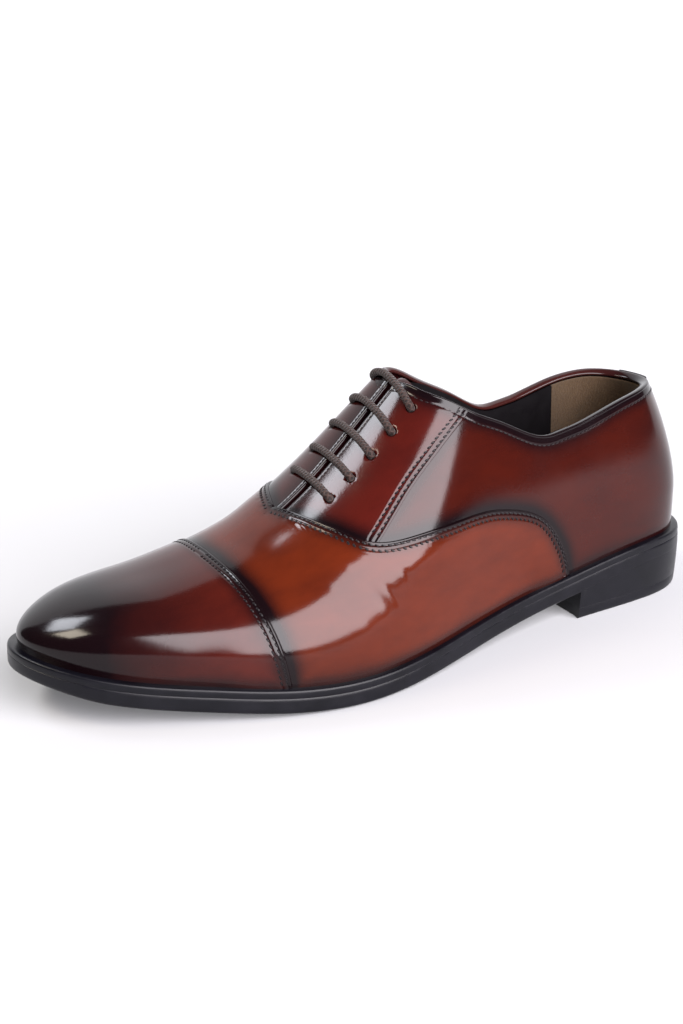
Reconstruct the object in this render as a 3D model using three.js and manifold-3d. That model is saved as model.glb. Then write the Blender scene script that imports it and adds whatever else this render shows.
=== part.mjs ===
// Left leather oxford shoe with a stitched toe cap and five straight bars of lace.
// Millimetres. +Z up, toe towards -Y, outer (lateral) side towards +X, floor at z = 0.
import * as THREE from "three";
import Module from "manifold-3d";

// ---- driving dimensions -------------------------------------------------------------------
const LENGTH = 308; // outsole, back of the heel to the toe tip
const STATION = 28; // spacing of the stations along the length
// Height of the sole's top edge, of the last's ridge, and the ridge's sideways place, by station.
const SOLE_TOP = [26, 27.5, 25, 20.5, 17.5, 14, 11, 9.5, 10.5, 14, 17.6, 24.6];
const RIDGE_Z = [168, 172, 168, 158, 141, 119, 90, 63, 49.3, 43.3, 42.6, 34];
const RIDGE_X = [0, 0, 0, -1, -2, -3, -5, -7, -9, -11.5, -14.5, -18];
// Control points (x, distance from the heel's back) of the closed spline round the sole.
const OUTLINE = [
  [-2, -3], [17, 0.5], [33.5, 17], [36.5, 42], [36.5, 72], [38, 104], [43.5, 136],
  [51, 166], [55, 196], [49, 226], [36.5, 252], [25, 276], [12, 297], [-17, 313],
  [-41, 299], [-49.5, 275], [-54, 248], [-57, 218], [-53, 188], [-41.5, 158],
  [-31.5, 128], [-29.5, 98], [-32.5, 68], [-34.5, 42], [-33, 17], [-21, 0.5],
];
const TOE_KNOT = 13; // the control point at the toe tip
const RIDGE_BACK = 40; // the ridge's ends, from the heel's back
const RIDGE_TOE = 262;
const LEAN_Z = 45; // above this the heel leans forward and the sides lean in
const LEAN_RISE = 43;
const LEAN_BACK = 11;
const LEAN_SIDE = 0.16;

const LEATHER = 1.3;
const FACING = 2.4;
const STIFFENER = [-1.75, -2.45];
const LINING = [-3.4, -4.2];
const GAP_ASIDE = 4.6; // the gap between the facings, to the ridge line's outer side
const CLEAR = 0.35; // between stacked layers

const WELT = 3.2;
const SOLE = 9.5; // welt and outsole together
const FLEX_S = 213; // the ball of the foot, where the sole bends
const BREAST_S = 78; // the heel's front face
const TOP_PIECE = 4.5;
const LIFT = 3.5;

const LACE_R = 1.5;
const HOLES = 5;
const HOLE_R = 2.3;

// Seams on the last as (place round the feather line, degrees up from it).
const VAMP_SEAM = [
  [0.64, 90], [0.617, 65], [0.583, 45], [0.515, 31.2], [0.432, 21.4],
  [0.375, 14], [0.345, 6.2], [0.333, 0],
];
const SLANT_SEAM = [[0.583, 45], [0.54, 49.2], [0.499, 49.4], [0.456, 48.2]];
const TOPLINE = [
  [0, 27.2], [0.12, 27], [0.2, 26.2], [0.28, 25.8], [0.328, 26.3], [0.369, 28.5],
  [0.413, 36.8], [0.456, 48.2], [0.494, 65.8], [0.51, 80], [0.518, 90],
];

// ---- small helpers --------------------------------------------------------------------------
const HALF_TURN = Math.PI / 2;
const clamp = (v, lo, hi) => Math.min(Math.max(v, lo), hi);
const mix = (a, b, t) => a + (b - a) * t;
const ease = (lo, hi, v) => {
  const t = clamp((v - lo) / (hi - lo), 0, 1);
  return t * t * (3 - 2 * t);
};

function cubic(u) {
  return [
    (1 - u) ** 3 / 6,
    (3 * u ** 3 - 6 * u * u + 4) / 6,
    (-3 * u ** 3 + 3 * u * u + 3 * u + 1) / 6,
    u ** 3 / 6,
  ];
}

// A smooth value along the length from one value per station.
function profile(values, s) {
  const last = values.length - 1;
  const at = (i) => {
    if (i < 0) return values[0] + (values[0] - values[1]) * -i;
    if (i > last) return values[last] + (values[last] - values[last - 1]) * (i - last);
    return values[i];
  };
  const t = clamp(s / STATION, -0.999, last + 0.999);
  const i = Math.floor(t);
  return cubic(t - i).reduce((sum, w, k) => sum + w * at(i + k - 1), 0);
}

function linear(pairs, s) {
  if (s <= pairs[0][0]) return pairs[0][1];
  for (let i = 1; i < pairs.length; i += 1) {
    const [a, va] = pairs[i - 1];
    const [b, vb] = pairs[i];
    if (s <= b) return mix(va, vb, (s - a) / (b - a));
  }
  return pairs[pairs.length - 1][1];
}

// A point on a smooth line through `knots`, t from 0 to 1.
function through(knots, t) {
  const spans = knots.length - 1;
  const q = clamp(t, 0, 1) * spans;
  const i = Math.min(Math.floor(q), spans - 1);
  const u = q - i;
  const k = (j) => knots[clamp(j, 0, spans)];
  const [a, b, c, d] = [k(i - 1), k(i), k(i + 1), k(i + 2)];
  return b.map((_, n) => 0.5 * (2 * b[n] + (c[n] - a[n]) * u
    + (2 * a[n] - 5 * b[n] + 4 * c[n] - d[n]) * u * u
    + (3 * b[n] - a[n] - 3 * c[n] + d[n]) * u ** 3));
}

// ---- the last -------------------------------------------------------------------------------
// A point of the sole's outline moved in by `inset`; tau runs 0 at the heel to 1 at the toe.
function edge(tau, side, inset) {
  const n = OUTLINE.length;
  const spot = (t) => {
    const m = ((t % n) + n) % n;
    const i = Math.floor(m);
    const w = cubic(m - i);
    const p = [0, 0];
    for (let k = 0; k < 4; k += 1) {
      const c = OUTLINE[(i + k - 1 + n) % n];
      p[0] += w[k] * c[0];
      p[1] += w[k] * c[1];
    }
    return p;
  };
  const t = side > 0 ? tau * TOE_KNOT : n - tau * (n - TOE_KNOT);
  const p = spot(t);
  const a = spot(t - 0.01);
  const b = spot(t + 0.01);
  const run = Math.hypot(b[0] - a[0], b[1] - a[1]);
  return { x: p[0] - ((b[1] - a[1]) / run) * inset, s: p[1] + ((b[0] - a[0]) / run) * inset };
}

const soleTop = (s) => profile(SOLE_TOP, s);
const ledge = (s) => 3 + 0.5 * (1 - ease(0, 80, s)) + 1.5 * ease(190, 308, s);
const roundSide = (s) => 2.13 + 0.25 * ease(30, 200, s) + 0.7 * ease(200, 305, s);
const roundTop = (s) => 2 + 0.85 * ease(190, 305, s);
const bulge = (s) => 1.5 + 0.9 * ease(60, 200, s) - 0.4 * ease(200, 300, s);

function lean(x, s, z) {
  const h = Math.max(0, (Math.min(z, 105) - LEAN_Z) / LEAN_RISE) ** 1.5;
  const inward = LEAN_SIDE * h * (1 - ease(100, 165, s));
  return [x * (1 - inward), s + LEAN_BACK * h * (1 - ease(10, 80, s)), z];
}

// The upper's outer surface: phi 0 at the feather line, 90 degrees on the ridge.
function skin(tau, phi, side) {
  const foot = edge(tau, side, ledge(edge(tau, side, 0).s));
  const across = edge(tau, -side, ledge(edge(tau, -side, 0).s));
  const t = clamp((foot.s + across.s) / 2 / LENGTH, 0, 1);
  const ridgeS = mix(RIDGE_BACK, RIDGE_TOE, t * t * (3 - 2 * t));
  const ridgeX = profile(RIDGE_X, ridgeS);
  const out = Math.max(Math.cos(phi), 0) ** (2 / roundSide(foot.s));
  const up = Math.sin(phi) ** (2 / roundTop(foot.s));
  const dx = foot.x - ridgeX;
  const ds = foot.s - ridgeS;
  const reach = Math.hypot(dx, ds);
  const swell = (bulge(foot.s) * Math.sin(2 * phi)) / reach;
  const s = ridgeS + (out + swell) * ds;
  const base = soleTop(foot.s) + CLEAR;
  const z = base + (profile(RIDGE_Z, s) - base) * up;
  return new THREE.Vector3(...lean(ridgeX + (out + swell) * dx, s, z));
}

function skinNormal(tau, phi, side) {
  const p = Math.min(phi, 1.5);
  const step = 0.004;
  const t0 = Math.max(tau - step, 0);
  const t1 = Math.min(tau + step, 1);
  const along = skin(t1, p, side).sub(skin(t0, p, side));
  if (t0 === 0 || t1 === 1) along.setY(0).setZ(0).setX(t0 === 0 ? side : -side);
  const rise = skin(tau, p + 0.01, side).sub(skin(tau, Math.max(p - 0.01, 0), side));
  const n = along.cross(rise).multiplyScalar(side).normalize();
  const blend = ease(1.2, HALF_TURN, phi);
  if (blend === 0) return n;
  const s = skin(tau, HALF_TURN, side).y;
  const z0 = profile(RIDGE_Z, s - 2);
  const z1 = profile(RIDGE_Z, s + 2);
  const ridge = new THREE.Vector3(0, (z0 - z1) / 4, 1).normalize();
  return n.lerp(ridge, blend).normalize();
}

// A point at `off` millimetres outside the last's surface, in the shoe's own axes.
// Past 90 degrees a point is down the other side.
function last(tau, degrees, sideFrom, off) {
  const side = degrees > 90 ? -sideFrom : sideFrom;
  const height = degrees > 90 ? 180 - degrees : degrees;
  const phi = THREE.MathUtils.degToRad(clamp(height, 0, 90));
  const p = skin(tau, phi, side).addScaledVector(skinNormal(tau, phi, side), off);
  return new THREE.Vector3(p.x, LENGTH / 2 - p.y, p.z);
}

// ---- closed bodies --------------------------------------------------------------------------
class Body {
  constructor() {
    this.points = [];
    this.faces = [];
    this.seen = new Map();
  }

  point(p) {
    const key = `${Math.round(p.x * 200)},${Math.round(p.y * 200)},${Math.round(p.z * 200)}`;
    if (!this.seen.has(key)) {
      this.seen.set(key, this.points.length / 3);
      this.points.push(p.x, p.y, p.z);
    }
    return this.seen.get(key);
  }

  face(a, b, c) {
    if (a !== b && b !== c && a !== c) this.faces.push(a, b, c);
  }

  quad(a, b, c, d) {
    this.face(a, b, c);
    this.face(a, c, d);
  }

  geometry() {
    const p = this.points;
    const f = this.faces;
    let volume = 0;
    const v = (i) => new THREE.Vector3(p[3 * i], p[3 * i + 1], p[3 * i + 2]);
    for (let i = 0; i < f.length; i += 3) volume += v(f[i]).dot(v(f[i + 1]).cross(v(f[i + 2])));
    if (volume < 0) {
      for (let i = 0; i < f.length; i += 3) [f[i], f[i + 1]] = [f[i + 1], f[i]];
    }
    const geometry = new THREE.BufferGeometry();
    geometry.setAttribute("position", new THREE.Float32BufferAttribute(p, 3));
    geometry.setIndex(f);
    geometry.computeVertexNormals();
    return geometry;
  }
}

// A slab over a grid: `at(u, v, k)` gives its two skins, k = 0 and 1. `open` tells which of the
// grid's sides take a wall; a side that closes on itself, as along the ridge, takes none.
function slab(at, nu, nv, open = () => true) {
  const body = new Body();
  const id = [0, 1].map((k) => {
    const rows = [];
    for (let i = 0; i <= nu; i += 1) {
      const row = [];
      for (let j = 0; j <= nv; j += 1) row.push(body.point(at(i / nu, j / nv, k)));
      rows.push(row);
    }
    return rows;
  });
  for (let i = 0; i < nu; i += 1) {
    for (let j = 0; j < nv; j += 1) {
      const [a, b] = id;
      body.quad(a[i][j], a[i + 1][j], a[i + 1][j + 1], a[i][j + 1]);
      body.quad(b[i][j], b[i][j + 1], b[i + 1][j + 1], b[i + 1][j]);
    }
  }
  const wall = (i, j, m, n) => {
    body.quad(id[0][m][n], id[0][i][j], id[1][i][j], id[1][m][n]);
  };
  for (let i = 0; i < nu; i += 1) {
    if (open("v0", (i + 0.5) / nu)) wall(i, 0, i + 1, 0);
    if (open("v1", (i + 0.5) / nu)) wall(i + 1, nv, i, nv);
  }
  for (let j = 0; j < nv; j += 1) {
    if (open("u0", (j + 0.5) / nv)) wall(0, j + 1, 0, j);
    if (open("u1", (j + 0.5) / nv)) wall(nu, j, nu, j + 1);
  }
  return body.geometry();
}

// A rounded bar along `frames`: each has a centre and the section's two half axes.
function sweep(frames, sides) {
  const body = new Body();
  const rings = frames.map(({ p, a, b }) => {
    const ring = [];
    for (let k = 0; k < sides; k += 1) {
      const t = (2 * Math.PI * k) / sides;
      ring.push(body.point(p.clone().addScaledVector(a, Math.cos(t)).addScaledVector(b, Math.sin(t))));
    }
    return ring;
  });
  for (let i = 1; i < rings.length; i += 1) {
    for (let k = 0; k < sides; k += 1) {
      const n = (k + 1) % sides;
      body.quad(rings[i - 1][k], rings[i - 1][n], rings[i][n], rings[i][k]);
    }
  }
  const end = (ring, centre, flip) => {
    const c = body.point(centre);
    for (let k = 0; k < sides; k += 1) {
      const n = (k + 1) % sides;
      if (flip) body.face(c, ring[n], ring[k]);
      else body.face(c, ring[k], ring[n]);
    }
  };
  end(rings[0], frames[0].p, true);
  end(rings[rings.length - 1], frames[frames.length - 1].p, false);
  return body.geometry();
}

// Frames of a round tube that turn as little as they can along the points.
function tubeFrames(points, radius) {
  let a = new THREE.Vector3(0.3, 0.2, 1);
  return points.map((p, i) => {
    const before = points[Math.max(i - 1, 0)];
    const after = points[Math.min(i + 1, points.length - 1)];
    const along = after.clone().sub(before).normalize();
    a = a.clone().addScaledVector(along, -a.dot(along)).normalize();
    const b = along.clone().cross(a);
    return { p, a: a.clone().multiplyScalar(radius), b: b.multiplyScalar(radius) };
  });
}

// ---- panels of the upper --------------------------------------------------------------------
const capSeam = (deg) => 0.695 + 0.034 * deg / 90;
const vampSeam = (w) => through(VAMP_SEAM, w);
const topline = (t) => through(TOPLINE, t);
const SPLIT = 2 / 7; // where the slanted seam meets the vamp's edge
const CORNER = 7 / 10; // where it meets the topline

// The degrees at which a panel stops `mm` short of the ridge line.
function ridgeGap(tau, side, mm) {
  const foot = edge(tau, side, 3);
  const x = Math.abs(foot.x - profile(RIDGE_X, foot.s));
  if (x < 4 * mm) return 90;
  return 90 - THREE.MathUtils.radToDeg(Math.asin((mm / x) ** (roundSide(foot.s) / 2)));
}

function toeCap(nu, nv, [outer, inner], back, low) {
  const at = (u, v, k) => {
    const deg = mix(low, 90, v);
    const start = capSeam(deg) + back / 370;
    const tau = mix(start, 1, 1 - Math.abs(2 * u - 1));
    return last(tau, deg, u <= 0.5 ? 1 : -1, k ? inner : outer);
  };
  return slab(at, nu, nv, (name) => name !== "v1");
}

// The vamp: front part up to the ridge, then a wing on each side under the quarter.
function vampPanel() {
  const ahead = 4;
  const seam = 16;
  const rows = ahead + seam;
  const at = (u, v, k) => {
    const side = u <= 0.5 ? 1 : -1;
    const q = (1 - Math.abs(2 * u - 1)) * rows; // 0 at the wing's tip, `rows` at the cap
    const w = clamp((rows - q - ahead) / seam, 0, 1);
    let top = w > 0 ? seamKnot(w) : [mix(0.64, capSeam(90), 1 - (rows - q) / ahead), 90];
    const foot = mix(0.333, capSeam(0), (q / rows) ** 0.85);
    if (q >= rows - 1e-6) top = [capSeam(90), 90];
    let tau = mix(foot, top[0], v);
    const deg = top[1] * v;
    if (q >= rows - 1e-6) tau = capSeam(deg);
    return last(tau, deg, side, k ? -LEATHER : 0);
  };
  // One half at a time: both halves share the ridge.
  return slabPair(at, rows, 6, (i) => i < seam);
}

// The seam's samples: three to a span as far as the split, two to a span behind it.
function seamKnot(w) {
  const k = w * 16;
  return vampSeam(k <= 6 ? (k / 6) * SPLIT : mix(SPLIT, 1, (k - 6) / 10));
}

// Two mirrored grids welded along the ridge: rows past `free` are joined there.
function slabPair(at, rows, nv, free) {
  const body = new Body();
  for (const side of [0, 1]) {
    const u = (i) => (side ? 1 - i / (2 * rows) : i / (2 * rows));
    const id = [0, 1].map((k) => {
      const grid = [];
      for (let i = 0; i <= rows; i += 1) {
        const row = [];
        const spot = Math.abs(u(i) - 0.5) < 1e-9 ? 0.5 + (side ? 1e-9 : 0) : u(i);
        for (let j = 0; j <= nv; j += 1) row.push(body.point(at(spot, j / nv, k)));
        grid.push(row);
      }
      return grid;
    });
    const quad = (a, b, c, d) => (side ? body.quad(d, c, b, a) : body.quad(a, b, c, d));
    for (let i = 0; i < rows; i += 1) {
      for (let j = 0; j < nv; j += 1) {
        const [a, b] = id;
        quad(a[i][j], a[i + 1][j], a[i + 1][j + 1], a[i][j + 1]);
        quad(b[i][j], b[i][j + 1], b[i + 1][j + 1], b[i + 1][j]);
      }
      quad(id[0][i + 1][0], id[0][i][0], id[1][i][0], id[1][i + 1][0]);
      if (free(i)) quad(id[0][i][nv], id[0][i + 1][nv], id[1][i + 1][nv], id[1][i][nv]);
    }
    for (let j = 0; j < nv; j += 1) {
      quad(id[0][0][j], id[0][0][j + 1], id[1][0][j + 1], id[1][0][j]);
      quad(id[0][rows][j + 1], id[0][rows][j], id[1][rows][j], id[1][rows][j + 1]);
    }
  }
  return body.geometry();
}

// A four-sided patch of the last between curves of (tau, degrees).
function coons(bottom, top, left, right, u, v) {
  const [a, b, c, d] = [bottom(u), top(u), left(v), right(v)];
  const [p, q, r, t] = [bottom(0), bottom(1), top(0), top(1)];
  return [0, 1].map((n) => mix(a[n], b[n], v) + mix(c[n], d[n], u)
    - mix(mix(p[n], q[n], u), mix(r[n], t[n], u), v));
}

const trim = (u, e) => mix(e, 1 - e, u);

// Degrees of a facing's front edge: the gap between them runs GAP_ASIDE beside the ridge line.
function lacingEdge(tau, side, mm) {
  return side > 0 ? ridgeGap(tau, 1, GAP_ASIDE + mm) : 180 - ridgeGap(tau, 1, GAP_ASIDE - mm);
}

// The vamp's seam and the topline carried on over the ridge and down the other side.
function seamPast(t) {
  const [tau, deg] = vampSeam(Math.abs(t));
  return [tau, t < 0 ? 180 - deg : deg];
}

function toplinePast(t) {
  const [tau, deg] = topline(Math.min(t, 2 - t));
  return [tau, t > 1 ? 180 - deg : deg];
}

// How far along such a line the facing's front edge crosses it, `past` giving the line.
function crossing(past, side, [inside, beyond]) {
  let [a, b] = [inside, beyond];
  for (let i = 0; i < 40; i += 1) {
    const m = (a + b) / 2;
    const [tau, deg] = past(m);
    if (deg < lacingEdge(tau, side, 1.2)) a = m;
    else b = m;
  }
  return a;
}

const seamEnd = (side) => crossing(seamPast, side, [0.25, -0.25]);
const toplineEnd = (side) => crossing(toplinePast, side, [0.8, 1.2]);

function facing(side) {
  const [low, high] = [seamEnd(side), toplineEnd(side)];
  const bottom = (u) => seamPast(mix(SPLIT, low, u));
  const top = (u) => toplinePast(mix(CORNER, high, u));
  const left = (v) => through(SLANT_SEAM, v);
  const right = (v) => {
    const tau = mix(seamPast(low)[0], toplinePast(high)[0], v);
    return [tau, lacingEdge(tau, side, 1.2)];
  };
  const at = (u, v, k) => {
    const [tau, deg] = coons(bottom, top, left, right, mix(0.012, 1, u), trim(v, 0.009));
    return last(tau, deg, side, k ? -FACING : 0);
  };
  return slab(at, 9, 8);
}

function quarter(side) {
  const bottom = (u) => (u < 0.5 ? [0.333 * 2 * u, 0] : vampSeam(mix(1, SPLIT, 2 * u - 1)));
  const top = (u) => topline(mix(0, CORNER, u));
  const left = (v) => [0, topline(0)[1] * v];
  const right = (v) => through(SLANT_SEAM, v);
  const at = (u, v, k) => {
    const inset = mix(0.006, 0, ease(0, 0.5, u) * (1 - ease(0.5, 0.6, u)));
    const [tau, deg] = coons(bottom, top, left, right, mix(0.0012, 0.997, u), trim(v, inset));
    return last(tau, deg, side, k ? -LEATHER : 0);
  };
  return slab(at, 20, 6);
}


// ---- strips, linings and stiffeners ----------------------------------------------------------
// Both halves round the heel: q runs -1 (medial) to 1 (lateral) across the back.
function heelBand(reach, low, high, [outer, inner], nu, nv) {
  const at = (u, v, k) => {
    const q = 2 * u - 1;
    const tau = Math.abs(q) * reach;
    return last(tau, mix(low(tau), high(tau), v), q >= 0 ? 1 : -1, k ? inner : outer);
  };
  return slab(at, nu, nv);
}

const vampLiningBack = (deg) => 0.6 + 0.075 * ease(45, 72, deg);
const liningTop = (tau) => Math.min(linear(TOPLINE, tau), 54) - 1.3;

function vampLining() {
  const at = (u, v, k) => {
    const deg = 90 * v;
    const tau = mix(vampLiningBack(deg), 1, 1 - Math.abs(2 * u - 1));
    return last(tau, deg, u <= 0.5 ? 1 : -1, LINING[k]);
  };
  return slab(at, 24, 7, (name) => name !== "v1");
}

function quarterLining(side) {
  const front = (deg) => vampLiningBack(deg) - 0.009;
  const at = (u, v, k) => {
    const deg = mix(0, liningTop(mix(0.236, 0.597, u)), v);
    return last(mix(0.236, front(deg), u), deg, side, LINING[k]);
  };
  return slab(at, 10, 4);
}

// ---- tongue ----------------------------------------------------------------------------------
const TONGUE_BASE = 0.667;
const TONGUE_TIP = 0.506;
const tongueDepth = (tau) => -1.95 - 4.6 * ease(0.655, 0.612, tau);

function tongue(shift, thick, from, to) {
  const at = (u, v, k) => {
    const q = 2 * v - 1;
    const tau = mix(from, to, u) + 0.006 * Math.abs(q) ** 3 * ease(0.6, 1, u);
    const aside = mix(19, 25, ease(0, 0.3, u)) * q + 5 * ease(0, 0.3, u);
    const off = tongueDepth(tau) - shift - (k ? thick : 0);
    return last(tau, 90 - aside, 1, off);
  };
  return slab(at, 10, 6);
}

// ---- lace --------------------------------------------------------------------------------------
const hole = (row, side) => [0.604 - 0.0225 * row, (side > 0 ? 74.3 : 80.5) - row];

// The strand's centre at a hole: `mm` towards the ridge, `off` above the leather.
function holePoint(row, side, mm, off) {
  const [tau, deg] = hole(row, side);
  return last(tau, deg + mm * 1.75, side, off);
}

function overBar(row, side) {
  const points = [];
  const n = 12;
  for (let i = 1; i < n; i += 1) {
    const q = mix(-1, 1, i / n);
    const near = q < 0 ? side : -side;
    const [tau, deg] = hole(row, near);
    const high = deg + 2.6 + (90 - deg - 2.6) * (1 - Math.abs(q) ** 1.15);
    points.push(last(tau, high, near, 1.85 + 0.15 * (1 - q * q)));
  }
  return points;
}

const downHole = (row, side) => [
  holePoint(row, side, 0.5, 1.1), holePoint(row, side, 0, -0.1),
  holePoint(row, side, 0, -1.4), holePoint(row, side, 0, -2.7),
];

// A run under one facing from a hole to another, `aside` millimetres off the line of holes.
function underRun(from, to, side, aside) {
  const n = Math.abs(to - from) * 3;
  const points = [];
  for (let i = 0; i <= n; i += 1) {
    const t = i / n;
    const row = mix(from, to, mix(0.22 / Math.abs(to - from), 1 - 0.22 / Math.abs(to - from), t));
    const bow = Math.sin(Math.PI * t) ** 0.5;
    points.push(holePoint(row, side, -aside * bow, -4.45));
  }
  return points;
}

function laceRoute() {
  const route = [];
  const tuck = (row, side, aside) => [
    holePoint(row + 0.85, side, -aside, -4.45), holePoint(row + 0.5, side, -aside, -4.45),
    holePoint(row + 0.22, side, -aside * 0.3, -4.3),
  ];
  const cross = (row, side) => {
    route.push(...downHole(row, side).reverse(), ...overBar(row, side));
    route.push(...downHole(row, -side));
  };
  route.push(...tuck(3, 1, 4));
  cross(3, 1);
  route.push(...underRun(3, 1, -1, 4));
  cross(1, -1);
  route.push(...underRun(1, 0, 1, 0));
  cross(0, 1);
  route.push(...underRun(0, 2, -1, 0));
  cross(2, -1);
  route.push(...underRun(2, 4, 1, 0));
  cross(4, 1);
  const end = [holePoint(3.78, -1, 0, -4.3), holePoint(3.5, -1, 0, -4.45)];
  route.push(...end, holePoint(3.2, -1, -2, -4.45));
  return route;
}

function lace() {
  const curve = new THREE.CatmullRomCurve3(laceRoute(), false, "centripetal");
  const points = curve.getSpacedPoints(160);
  return sweep(tubeFrames(points, LACE_R), 6);
}

// ---- sole ------------------------------------------------------------------------------------
// The tau on one side at which the sole's edge passes `s`.
function tauAt(s, side, inset = 0) {
  let lo = 0.06;
  let hi = 0.94;
  for (let i = 0; i < 40; i += 1) {
    const m = (lo + hi) / 2;
    if (edge(m, side, inset).s < s) lo = m;
    else hi = m;
  }
  return lo;
}

// A plate over part of the outline, between two levels that follow the length.
function plate(from, to, insets, levels, n, across = 2) {
  const stop = (s, inset) => {
    if (s <= 0) return [0, 0];
    if (s >= LENGTH) return [1, 1];
    return [tauAt(s, 1, inset), tauAt(s, -1, inset)];
  };
  const at = (u, v, k) => {
    const inset = insets[k];
    const a = stop(from, inset);
    const b = stop(to, inset);
    const e = from <= 0 ? (to >= LENGTH ? (1 - Math.cos(Math.PI * u)) / 2 : 1 - Math.cos(HALF_TURN * u))
      : (to >= LENGTH ? Math.sin(HALF_TURN * u) : u);
    const even = mix(u, e, 0.5);
    const l = edge(mix(a[0], b[0], even), 1, inset);
    const m = edge(mix(a[1], b[1], even), -1, inset);
    const x = mix(l.x, m.x, v);
    const s = mix(l.s, m.s, v);
    return new THREE.Vector3(x, LENGTH / 2 - s, levels[k](s, x));
  };
  return slab(at, n, across);
}

// A band round the outline's edge from one side's cut to the other's.
function rim(from, to, wide, levels, n) {
  const toe = to >= LENGTH;
  const cut = toe ? from : to;
  const at = (u, v, k) => {
    const side = u <= 0.5 ? 1 : -1;
    const q = 1 - Math.abs(2 * u - 1);
    const inset = v * wide;
    const tau = mix(tauAt(cut, side, inset), toe ? 1 : 0, q);
    const { x, s } = edge(tau, side, inset);
    return new THREE.Vector3(x, LENGTH / 2 - s, levels[k](s));
  };
  return slab(at, n, 1);
}

const level = (drop) => (s) => soleTop(s) - drop;
const flat = (z) => () => z;
const gapHalf = 0.2;

// ---- putting it together -----------------------------------------------------------------------
const wasm = await Module();
wasm.setup();

function solid(geometry) {
  const mesh = new wasm.Mesh({
    numProp: 3,
    vertProperties: new Float32Array(geometry.getAttribute("position").array),
    triVerts: new Uint32Array(geometry.index.array),
  });
  return new wasm.Manifold(mesh);
}

function unsolid(manifold) {
  const mesh = manifold.getMesh();
  const geometry = new THREE.BufferGeometry();
  geometry.setAttribute("position", new THREE.Float32BufferAttribute(mesh.vertProperties, 3));
  geometry.setIndex(Array.from(mesh.triVerts));
  geometry.computeVertexNormals();
  return geometry;
}

// A round pin or, with a bore, a ring between two points.
function pin(from, to, radius, sides, bore = 0) {
  const along = to.clone().sub(from);
  const length = along.length();
  along.normalize();
  const outline = bore
    ? [[bore, 0], [radius, 0], [radius, length], [bore, length]]
    : [[0, 0], [radius, 0], [radius, length], [0, length]];
  const turn = new THREE.Quaternion().setFromUnitVectors(new THREE.Vector3(0, 0, 1), along);
  const body = new Body();
  const spot = ([r, h], k) => {
    const t = (2 * Math.PI * k) / sides;
    const p = new THREE.Vector3(r * Math.cos(t), r * Math.sin(t), h);
    return body.point(p.applyQuaternion(turn).add(from));
  };
  for (let k = 0; k < sides; k += 1) {
    for (let i = 0; i < 4; i += 1) {
      const a = outline[i];
      const b = outline[(i + 1) % 4];
      if (bore || i < 3) body.quad(spot(a, k), spot(a, k + 1), spot(b, k + 1), spot(b, k));
    }
  }
  return body.geometry();
}

const cut = (geometry, tools) => unsolid(tools.reduce((a, t) => a.subtract(solid(t)), solid(geometry)));

const group = new THREE.Group();
group.name = "oxford_shoe";

function add(name, geometry, colour, roughness, metalness = 0) {
  const material = new THREE.MeshStandardMaterial({ color: colour, roughness, metalness });
  material.name = name;
  const mesh = new THREE.Mesh(geometry, material);
  mesh.name = name;
  group.add(mesh);
  return mesh;
}

const BURGUNDY = "#4a1614";
const BROWN = "#7a2412";
const WINE = "#5a1a14";
const BLACK = "#141214";
const SUEDE = "#5a4530";

// Upper
add("toe_cap", toeCap(20, 7, [0, -LEATHER], 0.5, 0), BURGUNDY, 0.25);
add("vamp", vampPanel(), BROWN, 0.28);
for (const [word, side] of [["lateral", 1], ["medial", -1]]) {
  const bores = [];
  for (let row = 0; row < HOLES; row += 1) {
    const spot = (off) => holePoint(row, side, 0, off);
    bores.push(pin(spot(-6), spot(4), HOLE_R, 8), pin(spot(-6), spot(-1.2), 3.6, 8));
    add(`eyelet_${word}_${row + 1}`, pin(spot(-2.3), spot(-1.5), 3.15, 8, 2.1), BLACK, 0.4, 0.6);
  }
  add(`facing_${word}`, cut(facing(side), bores), WINE, 0.28);
  add(`quarter_${word}`, quarter(side), BURGUNDY, 0.28);
  add(`quarter_lining_${word}`, quarterLining(side), BLACK, 0.7);
}
const tabWidth = (v) => mix(0.018, 0.046, v);
add("heel_tab", slab((u, v, k) => {
  const q = 2 * u - 1;
  const deg = mix(14, 27.2, v);
  return last(Math.abs(q) * tabWidth(v), deg, q >= 0 ? 1 : -1, k ? 0.35 : 1.25);
}, 6, 6), BLACK, 0.35);
add("heel_grip_lining", heelBand(0.233, () => 0, liningTop, LINING, 12, 4), SUEDE, 0.9);
add("heel_counter", heelBand(0.2, () => 3, () => 22, STIFFENER, 10, 3), "#8a7a60", 0.8);
add("toe_puff", toeCap(16, 7, STIFFENER, 6, 4), "#8a7a60", 0.8);
add("vamp_lining", vampLining(), BLACK, 0.7);

// The binding's frames follow the topline from one facing's front round the heel to the other.
const bindingFrames = [];
const BIND = 40;
for (let i = 0; i <= BIND; i += 1) {
  const q = mix(0.02 - toplineEnd(-1), toplineEnd(1) - 0.02, i / BIND);
  const side = q >= 0 ? 1 : -1;
  const [tau, top] = toplinePast(Math.abs(q));
  const [tauB, topB] = toplinePast(Math.abs(q) + 0.01);
  const p = last(tau, top, side, 0);
  const n = last(tau, top, side, 1).sub(p);
  const ahead = last(tauB, topB, side, 0).sub(p).normalize();
  const up = n.clone().cross(ahead).normalize().multiplyScalar(-side);
  const thick = mix(2.3, 1.45, ease(0.72, 0.8, Math.abs(q)));
  const centre = p.clone().addScaledVector(n, 0.2 - thick).addScaledVector(up, 1.15);
  bindingFrames.push({ p: centre, a: n.multiplyScalar(thick), b: up.multiplyScalar(0.75) });
}
add("topline_binding", sweep(bindingFrames, 6), "#2a1214", 0.35);
add("tongue", tongue(0, 1.1, TONGUE_BASE, TONGUE_TIP), WINE, 0.35);
add("tongue_lining", tongue(1.5, 0.8, TONGUE_BASE - 0.004, TONGUE_TIP + 0.004), BLACK, 0.7);
add("lace", lace(), "#3a2c28", 0.7);

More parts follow.
